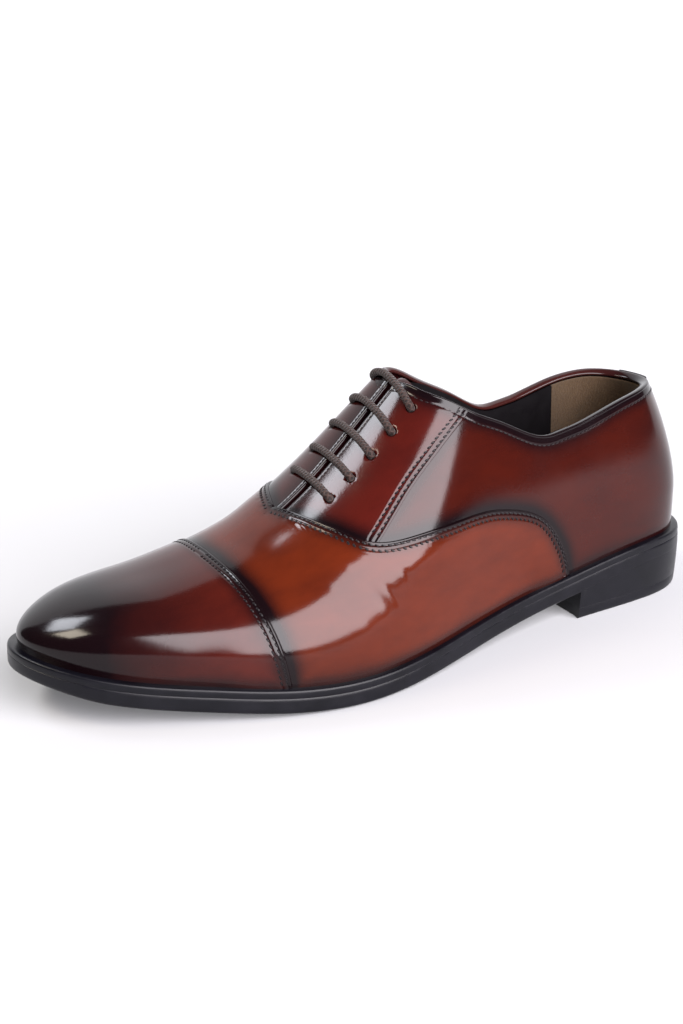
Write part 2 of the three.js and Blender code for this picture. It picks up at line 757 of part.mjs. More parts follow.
// Sole, from the insole down
const insoleAt = 9.4;
add("sock_liner", plate(0, LENGTH, [insoleAt + 3, insoleAt + 3], [level(-3.6), level(-2.6)], 20),
  BLACK, 0.6);
add("insole_board", plate(0, LENGTH, [insoleAt, insoleAt], [level(-2.2), level(-0.5)], 20),
  "#9a8a70", 0.9);
const welt = [level(0), level(WELT)];
add("welt_fore", rim(FLEX_S + gapHalf, LENGTH, 13, welt, 24), BLACK, 0.35);
add("welt_rear", rim(0, FLEX_S - gapHalf, 13, welt, 28), BLACK, 0.35);
const core = [level(0.1), level(WELT - 0.1)];
add("cork_filler", plate(FLEX_S + gapHalf, LENGTH - 0.01, [13.5, 13.5], core, 10), "#a8814f", 0.95);

// The rear filler holds the shank in a slot.
const shankBlock = (grow) => slab((u, v, k) => {
  const s = mix(62 - grow, 188 + grow, u);
  const x = mix(6 + grow, -8 - grow, v) + mix(0, -4, u);
  const top = grow ? -2 : 0.8; // the slot is open above, to drop the shank in
  return new THREE.Vector3(x, LENGTH / 2 - s, soleTop(s) - (k ? 2.4 + grow : top));
}, 10, 1);
add("shank", shankBlock(0), "#8a8d92", 0.4, 0.9);
const rearCore = plate(0, FLEX_S - gapHalf, [13.5, 13.5], core, 14);
add("shank_filler", cut(rearCore, [shankBlock(0.35)]), "#6a5a48", 0.95);

const soleLevels = [level(WELT + 0.3), (s) => soleTop(s) - SOLE + 1.2 * ease(285, 308, s)];
const nails = [[0, 26], [15, 38], [-15, 38], [14, 60], [-14, 60]];
const nailLow = 3;
const nailHigh = (s) => soleTop(s) - WELT - 0.8;
const at = (x, s, z) => new THREE.Vector3(x, LENGTH / 2 - s, z);
const nailBores = nails.map(([x, s]) => pin(at(x, s, nailLow - 0.3), at(x, s, soleTop(s)), 1.5, 8));
add("outsole_fore", plate(FLEX_S + gapHalf, LENGTH, [0.2, 1.2], soleLevels, 18), BLACK, 0.35);
add("outsole_rear", cut(plate(0, FLEX_S - gapHalf, [0.2, 1.2], soleLevels, 18), nailBores),
  BLACK, 0.35);
const lift = (insets, levels, n = 12) => cut(plate(0, BREAST_S, insets, levels, n), nailBores);
const liftTop = TOP_PIECE + 0.3 + LIFT;
add("heel_wedge", lift([1, 1.3], [level(SOLE + 0.3), flat(liftTop + 0.3)]), BLACK, 0.35);
add("heel_lift", lift([1.3, 1.6], [flat(liftTop), flat(TOP_PIECE + 0.3)]), BLACK, 0.35);
add("top_piece", lift([1.6, 2], [flat(TOP_PIECE), flat(0)]), "#101012", 0.6);
nails.forEach(([x, s], i) => {
  add(`heel_nail_${i + 1}`, pin(at(x, s, nailLow), at(x, s, nailHigh(s)), 1.15, 8), "#9a9a9e", 0.4, 0.9);
});

// The part's origin is the middle of its footprint, on the floor.
const middle = new THREE.Box3().setFromObject(group).getCenter(new THREE.Vector3());
for (const mesh of group.children) mesh.geometry.translate(-middle.x, -middle.y, 0);

export default group;
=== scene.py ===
"""Looks of a left leather oxford shoe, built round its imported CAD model.

The upper's panels, its seams, lace, lining and sole are surfaces worked out on the same last as
the CAD model. Lengths in the formulas are millimetres; meshes are written in metres.
"""

import math

import bmesh
import bpy
import numpy as np
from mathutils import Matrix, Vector


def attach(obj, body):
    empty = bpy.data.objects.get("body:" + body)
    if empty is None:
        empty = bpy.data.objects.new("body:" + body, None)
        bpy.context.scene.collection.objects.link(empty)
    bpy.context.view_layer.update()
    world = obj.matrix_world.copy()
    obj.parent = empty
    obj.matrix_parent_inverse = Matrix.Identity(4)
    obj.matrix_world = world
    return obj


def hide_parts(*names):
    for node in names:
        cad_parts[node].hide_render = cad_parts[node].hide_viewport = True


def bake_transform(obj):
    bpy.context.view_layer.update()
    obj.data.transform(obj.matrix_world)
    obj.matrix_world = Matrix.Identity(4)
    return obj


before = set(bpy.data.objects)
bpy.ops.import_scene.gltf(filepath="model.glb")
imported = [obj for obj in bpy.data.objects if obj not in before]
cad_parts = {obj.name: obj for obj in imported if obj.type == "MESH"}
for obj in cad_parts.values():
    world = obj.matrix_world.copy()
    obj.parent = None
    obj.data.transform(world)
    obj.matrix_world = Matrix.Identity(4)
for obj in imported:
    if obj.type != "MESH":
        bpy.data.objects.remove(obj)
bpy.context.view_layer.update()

bl_info = {
    "name": "Oxford Shoe",
    "version": (1, 0, 0),
    "blender": (4, 5, 0),
    "location": "View3D > Sidebar > Oxford Shoe",
    "description": "Builds a leather oxford shoe round its CAD frame",
    "category": "Object",
}

# ---- the last, as in the CAD model ----------------------------------------------------------
LENGTH = 308.0
STATION = 28.0
SOLE_TOP = np.array([26, 27.5, 25, 20.5, 17.5, 14, 11, 9.5, 10.5, 14, 17.6, 24.6])
RIDGE_Z = np.array([168, 172, 168, 158, 141, 119, 90, 63, 49.3, 43.3, 42.6, 34])
RIDGE_X = np.array([0, 0, 0, -1, -2, -3, -5, -7, -9, -11.5, -14.5, -18])
OUTLINE = np.array([
    (-2, -3), (17, 0.5), (33.5, 17), (36.5, 42), (36.5, 72), (38, 104), (43.5, 136),
    (51, 166), (55, 196), (49, 226), (36.5, 252), (25, 276), (12, 297), (-17, 313),
    (-41, 299), (-49.5, 275), (-54, 248), (-57, 218), (-53, 188), (-41.5, 158),
    (-31.5, 128), (-29.5, 98), (-32.5, 68), (-34.5, 42), (-33, 17), (-21, 0.5),
])
TOE_KNOT = 13
MIDDLE = (-1.22, 0.917)  # the footprint's middle, which is the part's origin
VAMP_SEAM = np.array([
    (0.64, 90), (0.617, 65), (0.583, 45), (0.515, 31.2), (0.432, 21.4),
    (0.375, 14), (0.345, 6.2), (0.333, 0),
])
SLANT_SEAM = np.array([(0.583, 45), (0.54, 49.2), (0.499, 49.4), (0.456, 48.2)])
TOPLINE = np.array([
    (0, 27.2), (0.12, 27), (0.2, 26.2), (0.28, 25.8), (0.328, 26.3), (0.369, 28.5),
    (0.413, 36.8), (0.456, 48.2), (0.494, 65.8), (0.51, 80), (0.518, 90),
])
SPLIT = 2 / 7
CORNER = 7 / 10
FOLDS = (  # y, height, depth, half width and half length of the folds over the ball
    (-37, 41, 0.28, 2.4, 7), (-29, 38, 0.22, 2.0, 6), (-46, 37, 0.24, 2.6, 6), (-22, 44, 0.16, 1.8, 5),
)
GAP_ASIDE = 4.6  # the gap between the facings, to the ridge line's outer side
CAMERA_TURN = 55.7  # degrees round from the toe to the outer side
CAMERA_RISE = 19.5
CAMERA_DISTANCE = 0.575
CAMERA_TARGET = (0.00122, -0.00092, 0.045)
CAMERA_LENS = 74.06
CAMERA_SHIFT = (-0.063, 0.0264)


def mix(a, b, t):
    """a at t = 0 and b at t = 1."""
    return a + (b - a) * t


def ease(lo, hi, v):
    """0 below lo, 1 above hi and the smooth cubic 3t^2 - 2t^3 between."""
    t = np.clip((v - lo) / (hi - lo), 0, 1)
    return t * t * (3 - 2 * t)


def weights(u):
    """The four weights of a uniform cubic spline at u in its span."""
    return [(1 - u) ** 3 / 6, (3 * u**3 - 6 * u**2 + 4) / 6,
            (-3 * u**3 + 3 * u**2 + 3 * u + 1) / 6, u**3 / 6]


def profile(values, s):
    """A uniform cubic spline of one value per station, carried straight on past its ends."""
    first, last_step = values[1] - values[0], values[-1] - values[-2]
    padded = np.concatenate([[values[0] - 2 * first, values[0] - first], values,
                             values[-1] + last_step * np.arange(1, 4)])
    t = np.clip(np.asarray(s, float) / STATION, -0.999, len(values) - 0.001)
    i = np.floor(t).astype(int)
    return sum(w * padded[i + k + 1] for k, w in enumerate(weights(t - i)))


def through(knots, t):
    """A Catmull-Rom line through the knots, t from 0 to 1."""
    spans = len(knots) - 1
    q = np.clip(np.asarray(t, float), 0, 1) * spans
    i = np.minimum(q.astype(int), spans - 1)
    u = (q - i)[..., None]
    a, b, c, d = (knots[np.clip(i + k, 0, spans)] for k in (-1, 0, 1, 2))
    return 0.5 * (2 * b + (c - a) * u + (2 * a - 5 * b + 4 * c - d) * u**2
                  + (3 * b - a - 3 * c + d) * u**3)


def outline(t):
    """The closed cubic spline round the sole at knot value t."""
    n = len(OUTLINE)
    m = np.mod(t, n)
    i = np.floor(m).astype(int)
    return sum(w[..., None] * OUTLINE[(i + k - 1) % n] for k, w in enumerate(weights(m - i)))


def edge(tau, side, inset):
    """(x, s) of the sole's outline moved in along its normal; tau 0 at the heel, 1 at the toe."""
    tau, side, inset = np.broadcast_arrays(*(np.asarray(v, float) for v in (tau, side, inset)))
    n = len(OUTLINE)
    t = np.where(side > 0, tau * TOE_KNOT, n - tau * (n - TOE_KNOT))
    p = outline(t)
    d = outline(t + 0.01) - outline(t - 0.01)
    d = d / np.linalg.norm(d, axis=-1, keepdims=True)
    return p[..., 0] - d[..., 1] * inset, p[..., 1] + d[..., 0] * inset


def sole_top(s):
    """Height of the sole's top edge."""
    return profile(SOLE_TOP, s)


def ledge(s):
    """How far the sole stands out beyond the upper."""
    return 3 + 0.5 * (1 - ease(0, 80, s)) + 1.5 * ease(190, 308, s)


def round_side(s):
    """Power of the last's section across."""
    return 2.13 + 0.25 * ease(30, 200, s) + 0.7 * ease(200, 305, s)


def skin(tau, phi, side):
    """The upper's outer surface: a superellipse fan from the feather line up to the ridge.

    x and s run from the ridge point out to the feather point by cos(phi)^(2/n) plus a swell of
    sin(2 phi); z rises from the sole to the ridge by sin(phi)^(2/m). Above the ankle the heel
    leans forward and the sides lean in with the height's power 1.5.
    """
    x0, s0 = edge(tau, side, ledge(edge(tau, side, 0)[1]))
    s1 = edge(tau, -side, ledge(edge(tau, -side, 0)[1]))[1]
    t = np.clip((s0 + s1) / 2 / LENGTH, 0, 1)
    ridge_s = 40 + 222 * t * t * (3 - 2 * t)
    ridge_x = profile(RIDGE_X, ridge_s)
    out = np.maximum(np.cos(phi), 0) ** (2 / round_side(s0))
    up = np.sin(phi) ** (2 / (2 + 0.85 * ease(190, 305, s0)))
    dx, ds = x0 - ridge_x, s0 - ridge_s
    swell = 1.5 + 0.9 * ease(60, 200, s0) - 0.4 * ease(200, 300, s0)
    reach = out + swell * np.sin(2 * phi) / np.hypot(dx, ds)
    x, s = ridge_x + reach * dx, ridge_s + reach * ds
    base = sole_top(s0) + 0.35
    z = base + (profile(RIDGE_Z, s) - base) * up
    h = np.maximum(0, (np.minimum(z, 105) - 45) / 43) ** 1.5
    x = x * (1 - 0.16 * h * (1 - ease(100, 165, s)))
    s = s + 11 * h * (1 - ease(10, 80, s))
    return np.stack([x, s, z], -1)


def skin_normal(tau, phi, side):
    """The surface's outward normal from central differences, turned to the ridge's own at the top."""
    p = np.minimum(phi, 1.5)
    t0, t1 = np.maximum(tau - 0.004, 0), np.minimum(tau + 0.004, 1)
    along = skin(t1, p, side) - skin(t0, p, side)
    end = np.where(t0 <= 0, side, np.where(t1 >= 1, -side, 0.0))[..., None]
    along = np.where(end != 0, end * np.array([1.0, 0, 0]), along)
    rise = skin(tau, p + 0.01, side) - skin(tau, np.maximum(p - 0.01, 0), side)
    n = np.cross(along, rise) * np.asarray(side, float)[..., None]
    n /= np.linalg.norm(n, axis=-1, keepdims=True)
    s = skin(tau, np.full_like(p, math.pi / 2), side)[..., 1]
    slope = (profile(RIDGE_Z, s - 2) - profile(RIDGE_Z, s + 2)) / 4
    ridge = np.stack([np.zeros_like(s), slope, np.ones_like(s)], -1)
    ridge /= np.linalg.norm(ridge, axis=-1, keepdims=True)
    blend = ease(1.2, math.pi / 2, phi)[..., None]
    n = mix(n, ridge, blend)
    return n / np.linalg.norm(n, axis=-1, keepdims=True)


def place(x, s, z):
    """Last's axes in millimetres to the part's frame in metres."""
    return np.stack([x - MIDDLE[0], LENGTH / 2 - s - MIDDLE[1], z], -1) / 1000


def last(tau, deg, side, off):
    """Points `off` millimetres outside the last.

    Below 0 degrees they go straight down, 1 mm a degree; past 90 they are down the other side.
    """
    tau, deg, side, off = np.broadcast_arrays(*(np.asarray(v, float) for v in (tau, deg, side, off)))
    side, deg = np.where(deg > 90, -side, side), np.where(deg > 90, 180 - deg, deg)
    phi = np.radians(np.clip(deg, 0, 90))
    p = skin(tau, phi, side) + skin_normal(tau, phi, side) * off[..., None]
    return place(p[..., 0], p[..., 1], p[..., 2] + np.minimum(deg, 0))


def cap_seam(deg):
    """tau of the toe cap's edge at so many degrees up the last."""
    return 0.695 + 0.034 * np.asarray(deg, float) / 90


def ridge_gap(tau, side, mm):
    """Degrees at which a panel stops `mm` short of the ridge line."""
    x, s = edge(tau, side, 3)
    x = np.abs(x - profile(RIDGE_X, s))
    return 90 - np.degrees(np.arcsin(np.minimum(mm / x, 1) ** (round_side(s) / 2)))


def lacing_edge(tau, side, mm):
    """Degrees of a facing's front edge, `mm` from the middle of the gap."""
    if side > 0:
        return ridge_gap(tau, 1, GAP_ASIDE + mm)
    return 180 - ridge_gap(tau, 1, GAP_ASIDE - mm)


def line_past(knots, t):
    """(tau, deg) along a line that ends on the ridge at t = 1, carried on down the other side."""
    t = np.asarray(t, float)
    p = through(knots, np.minimum(t, 2 - t))
    return np.stack([p[..., 0], np.where(t > 1, 180 - p[..., 1], p[..., 1])], -1)


def crossing(knots, side):
    """t at which the facing's front edge crosses such a line."""
    t = np.linspace(0.75, 1.25, 4001)
    tau, deg = line_past(knots, t).T
    return float(t[np.argmax(deg >= lacing_edge(tau, side, 1.2))])


def beside(tau, deg, side, mm):
    """(tau, deg) of a line moved `mm` across itself over the surface.

    The step is side * (normal x direction of travel), turned into (tau, deg) by the surface's
    two tangents.
    """
    base = last(tau, deg, side, 0)
    along = (last(tau + 1e-4, deg, side, 0) - base) / 1e-4
    rise = (last(tau, deg + 0.05, side, 0) - last(tau, deg - 0.05, side, 0)) / 0.1
    run = np.gradient(base, axis=0)
    run /= np.linalg.norm(run, axis=-1, keepdims=True) + 1e-12
    n = last(tau, deg, side, 1) - base
    n /= np.linalg.norm(n, axis=-1, keepdims=True)
    step = np.cross(n, run) * side * mm / 1000
    a, b, c = (along * along).sum(-1), (along * rise).sum(-1), (rise * rise).sum(-1)
    p, q = (along * step).sum(-1), (rise * step).sum(-1)
    det = a * c - b * b + 1e-15
    return tau + (c * p - b * q) / det, deg + (a * q - b * p) / det


# ---- meshes -----------------------------------------------------------------------------------
def new_object(name, points, quads, material, smooth=40, uv=None):
    """A mesh from a point array and a quad array; equal points are welded and flat faces dropped."""
    mesh = bpy.data.meshes.new(name)
    mesh.vertices.add(len(points))
    mesh.vertices.foreach_set("co", np.asarray(points, np.float32).ravel())
    mesh.loops.add(quads.size)
    mesh.loops.foreach_set("vertex_index", quads.astype(np.int32).ravel())
    mesh.polygons.add(len(quads))
    mesh.polygons.foreach_set("loop_start", np.arange(0, quads.size, 4, dtype=np.int32))
    if uv is not None:
        layer = mesh.uv_layers.new(name="UVMap")
        layer.data.foreach_set("uv", uv[quads.ravel()].astype(np.float32).ravel())
    mesh.update(calc_edges=True)
    mesh.validate()
    bm = bmesh.new()
    bm.from_mesh(mesh)
    bmesh.ops.remove_doubles(bm, verts=bm.verts, dist=2e-6)
    bmesh.ops.dissolve_degenerate(bm, dist=1e-7, edges=bm.edges)
    bmesh.ops.recalc_face_normals(bm, faces=bm.faces)
    bm.to_mesh(mesh)
    bm.free()
    mesh.polygons.foreach_set("use_smooth", np.ones(len(mesh.polygons), bool))
    mesh.set_sharp_from_angle(angle=math.radians(smooth))
    mesh.materials.append(material)
    obj = bpy.data.objects.new(name, mesh)
    bpy.context.scene.collection.objects.link(obj)
    return obj


def grid_quads(rows, cols, offset=0):
    """Quads of a rows x cols grid of points stored row by row."""
    i, j = np.meshgrid(np.arange(rows - 1), np.arange(cols - 1), indexing="ij")
    a = (i * cols + j).ravel() + offset
    return np.stack([a, a + cols, a + cols + 1, a + 1], 1)


def wall_quads(a, b):
    """Quads between two equal rows of point numbers."""
    return np.stack([a[:-1], a[1:], b[1:], b[:-1]], 1)


def slab(outer, inner, open_sides="uvUV"):
    """Points and quads of a closed slab between two grids; u, U, v, V name the sides with walls."""
    rows, cols = outer.shape[:2]
    n = rows * cols
    points = np.concatenate([outer.reshape(-1, 3), inner.reshape(-1, 3)])
    g = np.arange(n).reshape(rows, cols)
    sides = {"u": g[0], "U": g[-1], "v": g[:, 0], "V": g[:, -1]}
    parts = [grid_quads(rows, cols), grid_quads(rows, cols, n)[:, ::-1]]
    parts += [wall_quads(sides[k], sides[k] + n) for k in open_sides]
    return points, np.concatenate(parts)


def join(*parts):
    """Several (points, quads) as one."""
    points, quads, count = [], [], 0
    for p, q in parts:
        points.append(p)
        quads.append(q + count)
        count += len(p)
    return np.concatenate(points), np.concatenate(quads)


def sweep(centre, a, b, sides, power=2.0):
    """A closed bar along centre points; a and b are the section's two half axes at each point."""
    t = np.linspace(0, 2 * np.pi, sides, endpoint=False)
    c, s = np.cos(t), np.sin(t)
    c, s = np.sign(c) * np.abs(c) ** (2 / power), np.sign(s) * np.abs(s) ** (2 / power)
    ring = centre[:, None] + c[None, :, None] * a[:, None] + s[None, :, None] * b[:, None]
    ring = np.concatenate([np.repeat(centre[:1, None], sides, 1), ring,
                           np.repeat(centre[-1:, None], sides, 1)])
    ring = np.concatenate([ring, ring[:, :1]], 1)
    return ring.reshape(-1, 3), grid_quads(len(ring), sides + 1)


def tube_axes(points, radius):
    """Two axes across a path that don't spin about it.

    A first axis is the part of one fixed direction that lies across the path. Each step's twist is
    the angle, seen along the path, from that axis to the last one carried on, and the axes are
    turned by the sum of the twists so far.
    """
    run = np.gradient(points, axis=0)
    run /= np.linalg.norm(run, axis=-1, keepdims=True)
    fixed = np.array([0.3, 0.2, 1.0])
    a = fixed - run * (run @ fixed)[:, None]
    a /= np.linalg.norm(a, axis=-1, keepdims=True)
    b = np.cross(run, a)
    twist = np.arctan2((a[:-1] * b[1:]).sum(-1), (a[:-1] * a[1:]).sum(-1))
    turn = np.concatenate([[0], np.cumsum(twist)])[:, None]
    a, b = a * np.cos(turn) + b * np.sin(turn), b * np.cos(turn) - a * np.sin(turn)
    return a * radius, b * radius


def resample(points, step):
    """The same path with points evenly `step` apart."""
    d = np.concatenate([[0], np.cumsum(np.linalg.norm(np.diff(points, axis=0), axis=1))])
    n = max(int(round(d[-1] / step)), 2)
    t = np.linspace(0, d[-1], n + 1)
    return np.stack([np.interp(t, d, points[:, k]) for k in range(3)], 1)


def near(points, lines):
    """Distance in millimetres from each point to the closest segment of any of the lines."""
    shape = points.shape[:-1]
    points = points.reshape(-1, 3)
    a = np.concatenate([line[:-1] for line in lines])
    d = np.concatenate([line[1:] for line in lines]) - a
    long = (d * d).sum(-1) + 1e-18
    best = np.empty(len(points))
    for start in range(0, len(points), 4000):
        p = points[start:start + 4000, None] - a[None]
        t = np.clip((p * d).sum(-1) / long, 0, 1)
        gap = p - t[..., None] * d
        best[start:start + 4000] = np.sqrt((gap * gap).sum(-1).min(1)) * 1000
    return best.reshape(shape)


# ---- seam lines -----------------------------------------------------------------------------
def both(make, n):
    """A line on each side of the shoe."""
    return [make(1, n), make(-1, n)]


def seam_line(side, n):
    """The vamp's edge over the quarter."""
    tau, deg = through(VAMP_SEAM, np.linspace(0, 1, n)).T
    return last(tau, deg, side, 0)


def slant_line(side, n):
    """The edge between the facing and the rear quarter."""
    tau, deg = through(SLANT_SEAM, np.linspace(0, 1, n)).T
    return last(tau, deg, side, 0)


def cap_line(side, n):
    """The toe cap's edge over the vamp."""
    deg = np.linspace(0, 90, n)
    return last(cap_seam(deg), deg, side, 0)


def top_line(side, n):
    """The topline."""
    tau, deg = through(TOPLINE, np.linspace(0, 1, n)).T
    return last(tau, deg, side, 0)


def feather_line(side, n):
    """Where the upper meets the sole."""
    return last(np.linspace(0, 1, n), np.zeros(n), side, 0)


def hole(at, side):
    """(tau, deg) of a lace hole's centre; rows count up from the vamp."""
    return 0.604 - 0.0225 * at, (74.3 if side > 0 else 80.5) - at


def hole_spots(side):
    """Centres of the five lace holes on one side, each as a very short line."""
    tau, deg = hole(np.arange(5), side)
    centres = last(tau, deg, side, 0)
    return [np.stack([c, c + 1e-6]) for c in centres]


def burnish_and_shade(points, kinds):
    """0 where the leather keeps its own colour, 1 where it is nearly black: burnishing and painted shade.

    Each seam named darkens by strength * exp(-(distance / width)^2). This is painted shade beside
    the raised edges over burnished ones, and at the feather line also a painted reflection of the
    black sole. The lace holes are painted shade, and so is the lacing gap on the tongue, while
    along the facings' edges it is burnishing. The toe darkens towards its tip and the heel towards
    the back: the leather's burnished finish.
    """
    # Seam, slant, cap, topline and feather bands: painted shade beside raised edges, over burnished edges;
    # at the feather line also a painted reflection of the black sole.
    bands = {
        "seam": (seam_line, 60, 4.6, 1.0), "slant": (slant_line, 16, 3.4, 0.6),
        "cap": (cap_line, 40, 5.2, 1.0), "top": (top_line, 50, 5.5, 0.95),
        "feather": (feather_line, 60, 4.0, 0.7),
    }
    dark = np.zeros(len(points))
    for key, (line, n, width, strength) in bands.items():
        if key in kinds:
            dark = np.maximum(dark, strength * np.exp(-(near(points, both(line, n)) / width) ** 2))
    # Lace holes and the lacing gap: painted shade in the holes and on the tongue under the facings;
    # burnished leather along the facings' edges.
    if "lacing" in kinds:
        spots = hole_spots(1) + hole_spots(-1)
        dark = np.maximum(dark, 1 - ease(1.5, 2.6, near(points, spots)))
        tau = np.linspace(0.66, 0.5, 40)
        gap = [last(tau, lacing_edge(tau, 1, 0), 1, 0)]
        dark = np.maximum(dark, 0.85 * np.exp(-(near(points, gap) / 9) ** 2))
    if "toe" in kinds:
        tip = last(np.array([1.0, 1.0]), np.array([20.0, 21.0]), 1, 0)
        dark = np.maximum(dark, 1.0 - ease(20, 84, near(points, [tip])))
    if "dark" in kinds:
        dark[:] = 1
    if "edge" in kinds:
        dark = np.maximum(dark, mix(0.1, 0.95, ease(-18, 12, points[:, 0] * 1000)))
    if "heel" in kinds:
        dark = np.maximum(dark, 0.5 * ease(95, 150, points[:, 1] * 1000))
    return np.clip(dark, 0, 1)


# ---- materials ------------------------------------------------------------------------------
class Nodes:
    """Short calls for building a node tree."""

    def __init__(self, name):
        self.material = bpy.data.materials.new(name)
        self.material.use_nodes = True
        self.tree = self.material.node_tree
        self.bsdf = self.tree.nodes["Principled BSDF"]
        self.coords = self.add("ShaderNodeTexCoord")

    def add(self, kind, inputs=None, **settings):
        node = self.tree.nodes.new(kind)
        for key, value in settings.items():
            setattr(node, key, value)
        for key, value in (inputs or {}).items():
            self.put(node.inputs[key], value)
        return node

    def put(self, socket, value):
        if isinstance(value, bpy.types.NodeSocket):
            self.tree.links.new(value, socket)
        else:
            socket.default_value = value

    def set(self, **inputs):
        for key, value in inputs.items():
            self.put(self.bsdf.inputs[key.replace("_", " ")], value)

    def noise(self, scale, detail=4.0, roughness=0.55, source=None, stretch=None):
        vector = source or self.coords.outputs["Object"]
        if stretch:
            mapping = self.add("ShaderNodeMapping", {"Vector": vector, "Scale": stretch})
            vector = mapping.outputs["Vector"]
        node = self.add("ShaderNodeTexNoise", {"Vector": vector, "Scale": scale, "Detail": detail,
                                               "Roughness": roughness})
        return node.outputs["Fac"]

    def ramp(self, value, *stops):
        node = self.add("ShaderNodeValToRGB", {"Fac": value})
        while len(node.color_ramp.elements) < len(stops):
            node.color_ramp.elements.new(0.5)
        for element, (position, colour) in zip(node.color_ramp.elements, stops):
            element.position = position
            element.color = (*colour, 1) if len(colour) == 3 else colour
        return node.outputs["Color"]

    def range(self, value, a, b, c, d):
        node = self.add("ShaderNodeMapRange", {"Value": value, "From Min": a, "From Max": b,
                                               "To Min": c, "To Max": d})
        return node.outputs["Result"]

    def blend(self, factor, a, b):
        node = self.add("ShaderNodeMix", data_type="RGBA")
        self.put(node.inputs["Factor"], factor)
        self.put(node.inputs["A"], (*a, 1) if isinstance(a, tuple) else a)
        self.put(node.inputs["B"], (*b, 1) if isinstance(b, tuple) else b)
        return node.outputs["Result"]

    def math(self, operation, a, b=0.0):
        node = self.add("ShaderNodeMath", operation=operation)
        self.put(node.inputs[0], a)
        self.put(node.inputs[1], b)
        return node.outputs["Value"]

    def attribute(self, name):
        return self.add("ShaderNodeAttribute", attribute_name=name).outputs["Fac"]

    def bump(self, height, strength, distance, normal=None):
        node = self.add("ShaderNodeBump", {"Height": height, "Strength": strength,
                                           "Distance": distance})
        if normal is not None:
            self.put(node.inputs["Normal"], normal)
        return node.outputs["Normal"]


def leather(name, plain, burnish_shade_colour):
    """Polished calf: mottled colour that darkens with the points' burnishing and painted shade, under a wax
    coat.

    The coat's own bump is a broad soft wave and a very fine grain, so that a lamp's reflection
    keeps its shape but loses its hard edge.
    """
    n = Nodes(name)
    # The attribute is burnishing together with painted shade at seams, lace holes and the lacing gap.
    burnish_shade_mask = n.attribute("burnish_and_shade")
    factor = n.math("ADD", burnish_shade_mask, n.range(n.noise(26, 6, 0.6), 0.3, 0.7, -0.12, 0.12))
    factor = n.math("ADD", factor, n.range(n.noise(9, 3, 0.5), 0.3, 0.7, -0.1, 0.1))
    factor = n.add("ShaderNodeClamp", {"Value": factor}).outputs["Result"]
    middle = tuple(mix(np.array(plain), np.array(burnish_shade_colour), 0.6))
    colour = n.ramp(factor, (0.0, plain), (0.5, middle), (0.92, burnish_shade_colour))
    streak = n.range(n.noise(80, 4, 0.6, stretch=(1, 0.3, 1)), 0.4, 0.72, 0.0, 0.3)
    colour = n.blend(streak, colour, tuple(np.array(burnish_shade_colour) * 1.2))
    cells = n.add("ShaderNodeTexVoronoi", {"Vector": n.coords.outputs["Object"], "Scale": 800.0},
                  feature="DISTANCE_TO_EDGE").outputs["Distance"]
    grain = n.bump(n.range(cells, 0.0, 0.12, 0.0, 1.0), 0.12, 0.00006)
    wave = n.noise(34, 3, 0.5)
    fine = n.noise(1400, 2, 0.6)
    n.set(Base_Color=colour, Roughness=n.range(n.noise(60, 5, 0.6), 0.3, 0.75, 0.36, 0.5),
          Normal=n.bump(wave, 0.2, 0.0008, grain), Specular_IOR_Level=0.0,
          Coat_Weight=1.0, Coat_IOR=1.35, Coat_Roughness=n.range(n.noise(48, 4, 0.6), 0.3, 0.75, 0.1, 0.16),
          Coat_Normal=n.bump(wave, 0.12, 0.0007, n.bump(fine, 0.4, 0.00004)))
    return n.material


def plain_material(name, colour, roughness, metallic=0.0, grain=None, depth=0.0002, sheen=0.0):
    """One colour with a little variation, and grain of the given scale."""
    n = Nodes(name)
    dark = tuple(np.array(colour) * 0.72)
    tone = n.ramp(n.noise(120, 4, 0.6), (0.3, dark), (0.7, colour))
    n.set(Base_Color=tone, Metallic=metallic, Specular_IOR_Level=0.2, Sheen_Weight=sheen,
          Sheen_Roughness=0.5)
    n.set(Roughness=n.range(n.noise(200, 3, 0.6), 0.3, 0.7, roughness - 0.06, roughness + 0.06))
    if grain:
        n.set(Normal=n.bump(n.noise(grain, 4, 0.6), 0.5, depth))
    return n.material


def suede_material():
    """Brown suede: short nap, patchy where it has been brushed."""
    n = Nodes("suede")
    patch = n.noise(55, 5, 0.65)
    fibre = n.noise(1300, 5, 0.75)
    tone = n.ramp(patch, (0.3, (0.028, 0.0145, 0.006)), (0.7, (0.066, 0.035, 0.0165)))
    tone = n.blend(n.range(fibre, 0.3, 0.7, 0.0, 0.7), tone, (0.11, 0.07, 0.035))
    n.set(Base_Color=tone, Roughness=0.95, Sheen_Weight=0.08, Sheen_Roughness=0.6,
          Specular_IOR_Level=0.04, Normal=n.bump(fibre, 0.9, 0.0006))
    return n.material


def lace_material():
    """Waxed round braid: two sets of strands crossing, sin(2 pi (u + v)) and sin(2 pi (u - v))."""
    n = Nodes("lace_cotton")
    uv = n.add("ShaderNodeSeparateXYZ", {"Vector": n.coords.outputs["UV"]})
    u, v = uv.outputs["X"], uv.outputs["Y"]
    strands = [n.math("SINE", n.math("MULTIPLY", n.math(way, u, v), 2 * math.pi))
               for way in ("ADD", "SUBTRACT")]
    braid = n.range(n.math("MAXIMUM", *strands), -0.4, 1.0, 0.0, 1.0)
    fuzz = n.noise(900, 4, 0.7)
    # Darker down in the grooves between the strands: painted shade.
    tone = n.ramp(braid, (0.15, (0.0045, 0.0022, 0.002)), (0.9, (0.03, 0.0155, 0.0125)))
    tone = n.blend(n.range(fuzz, 0.45, 0.72, 0.0, 0.4), tone, (0.065, 0.039, 0.032))
    n.set(Base_Color=tone, Roughness=0.6, Specular_IOR_Level=0.25, Sheen_Weight=0.1,
          Sheen_Roughness=0.4,
          Normal=n.bump(braid, 0.9, 0.0004, n.bump(fuzz, 0.4, 0.0003)))
    return n.material


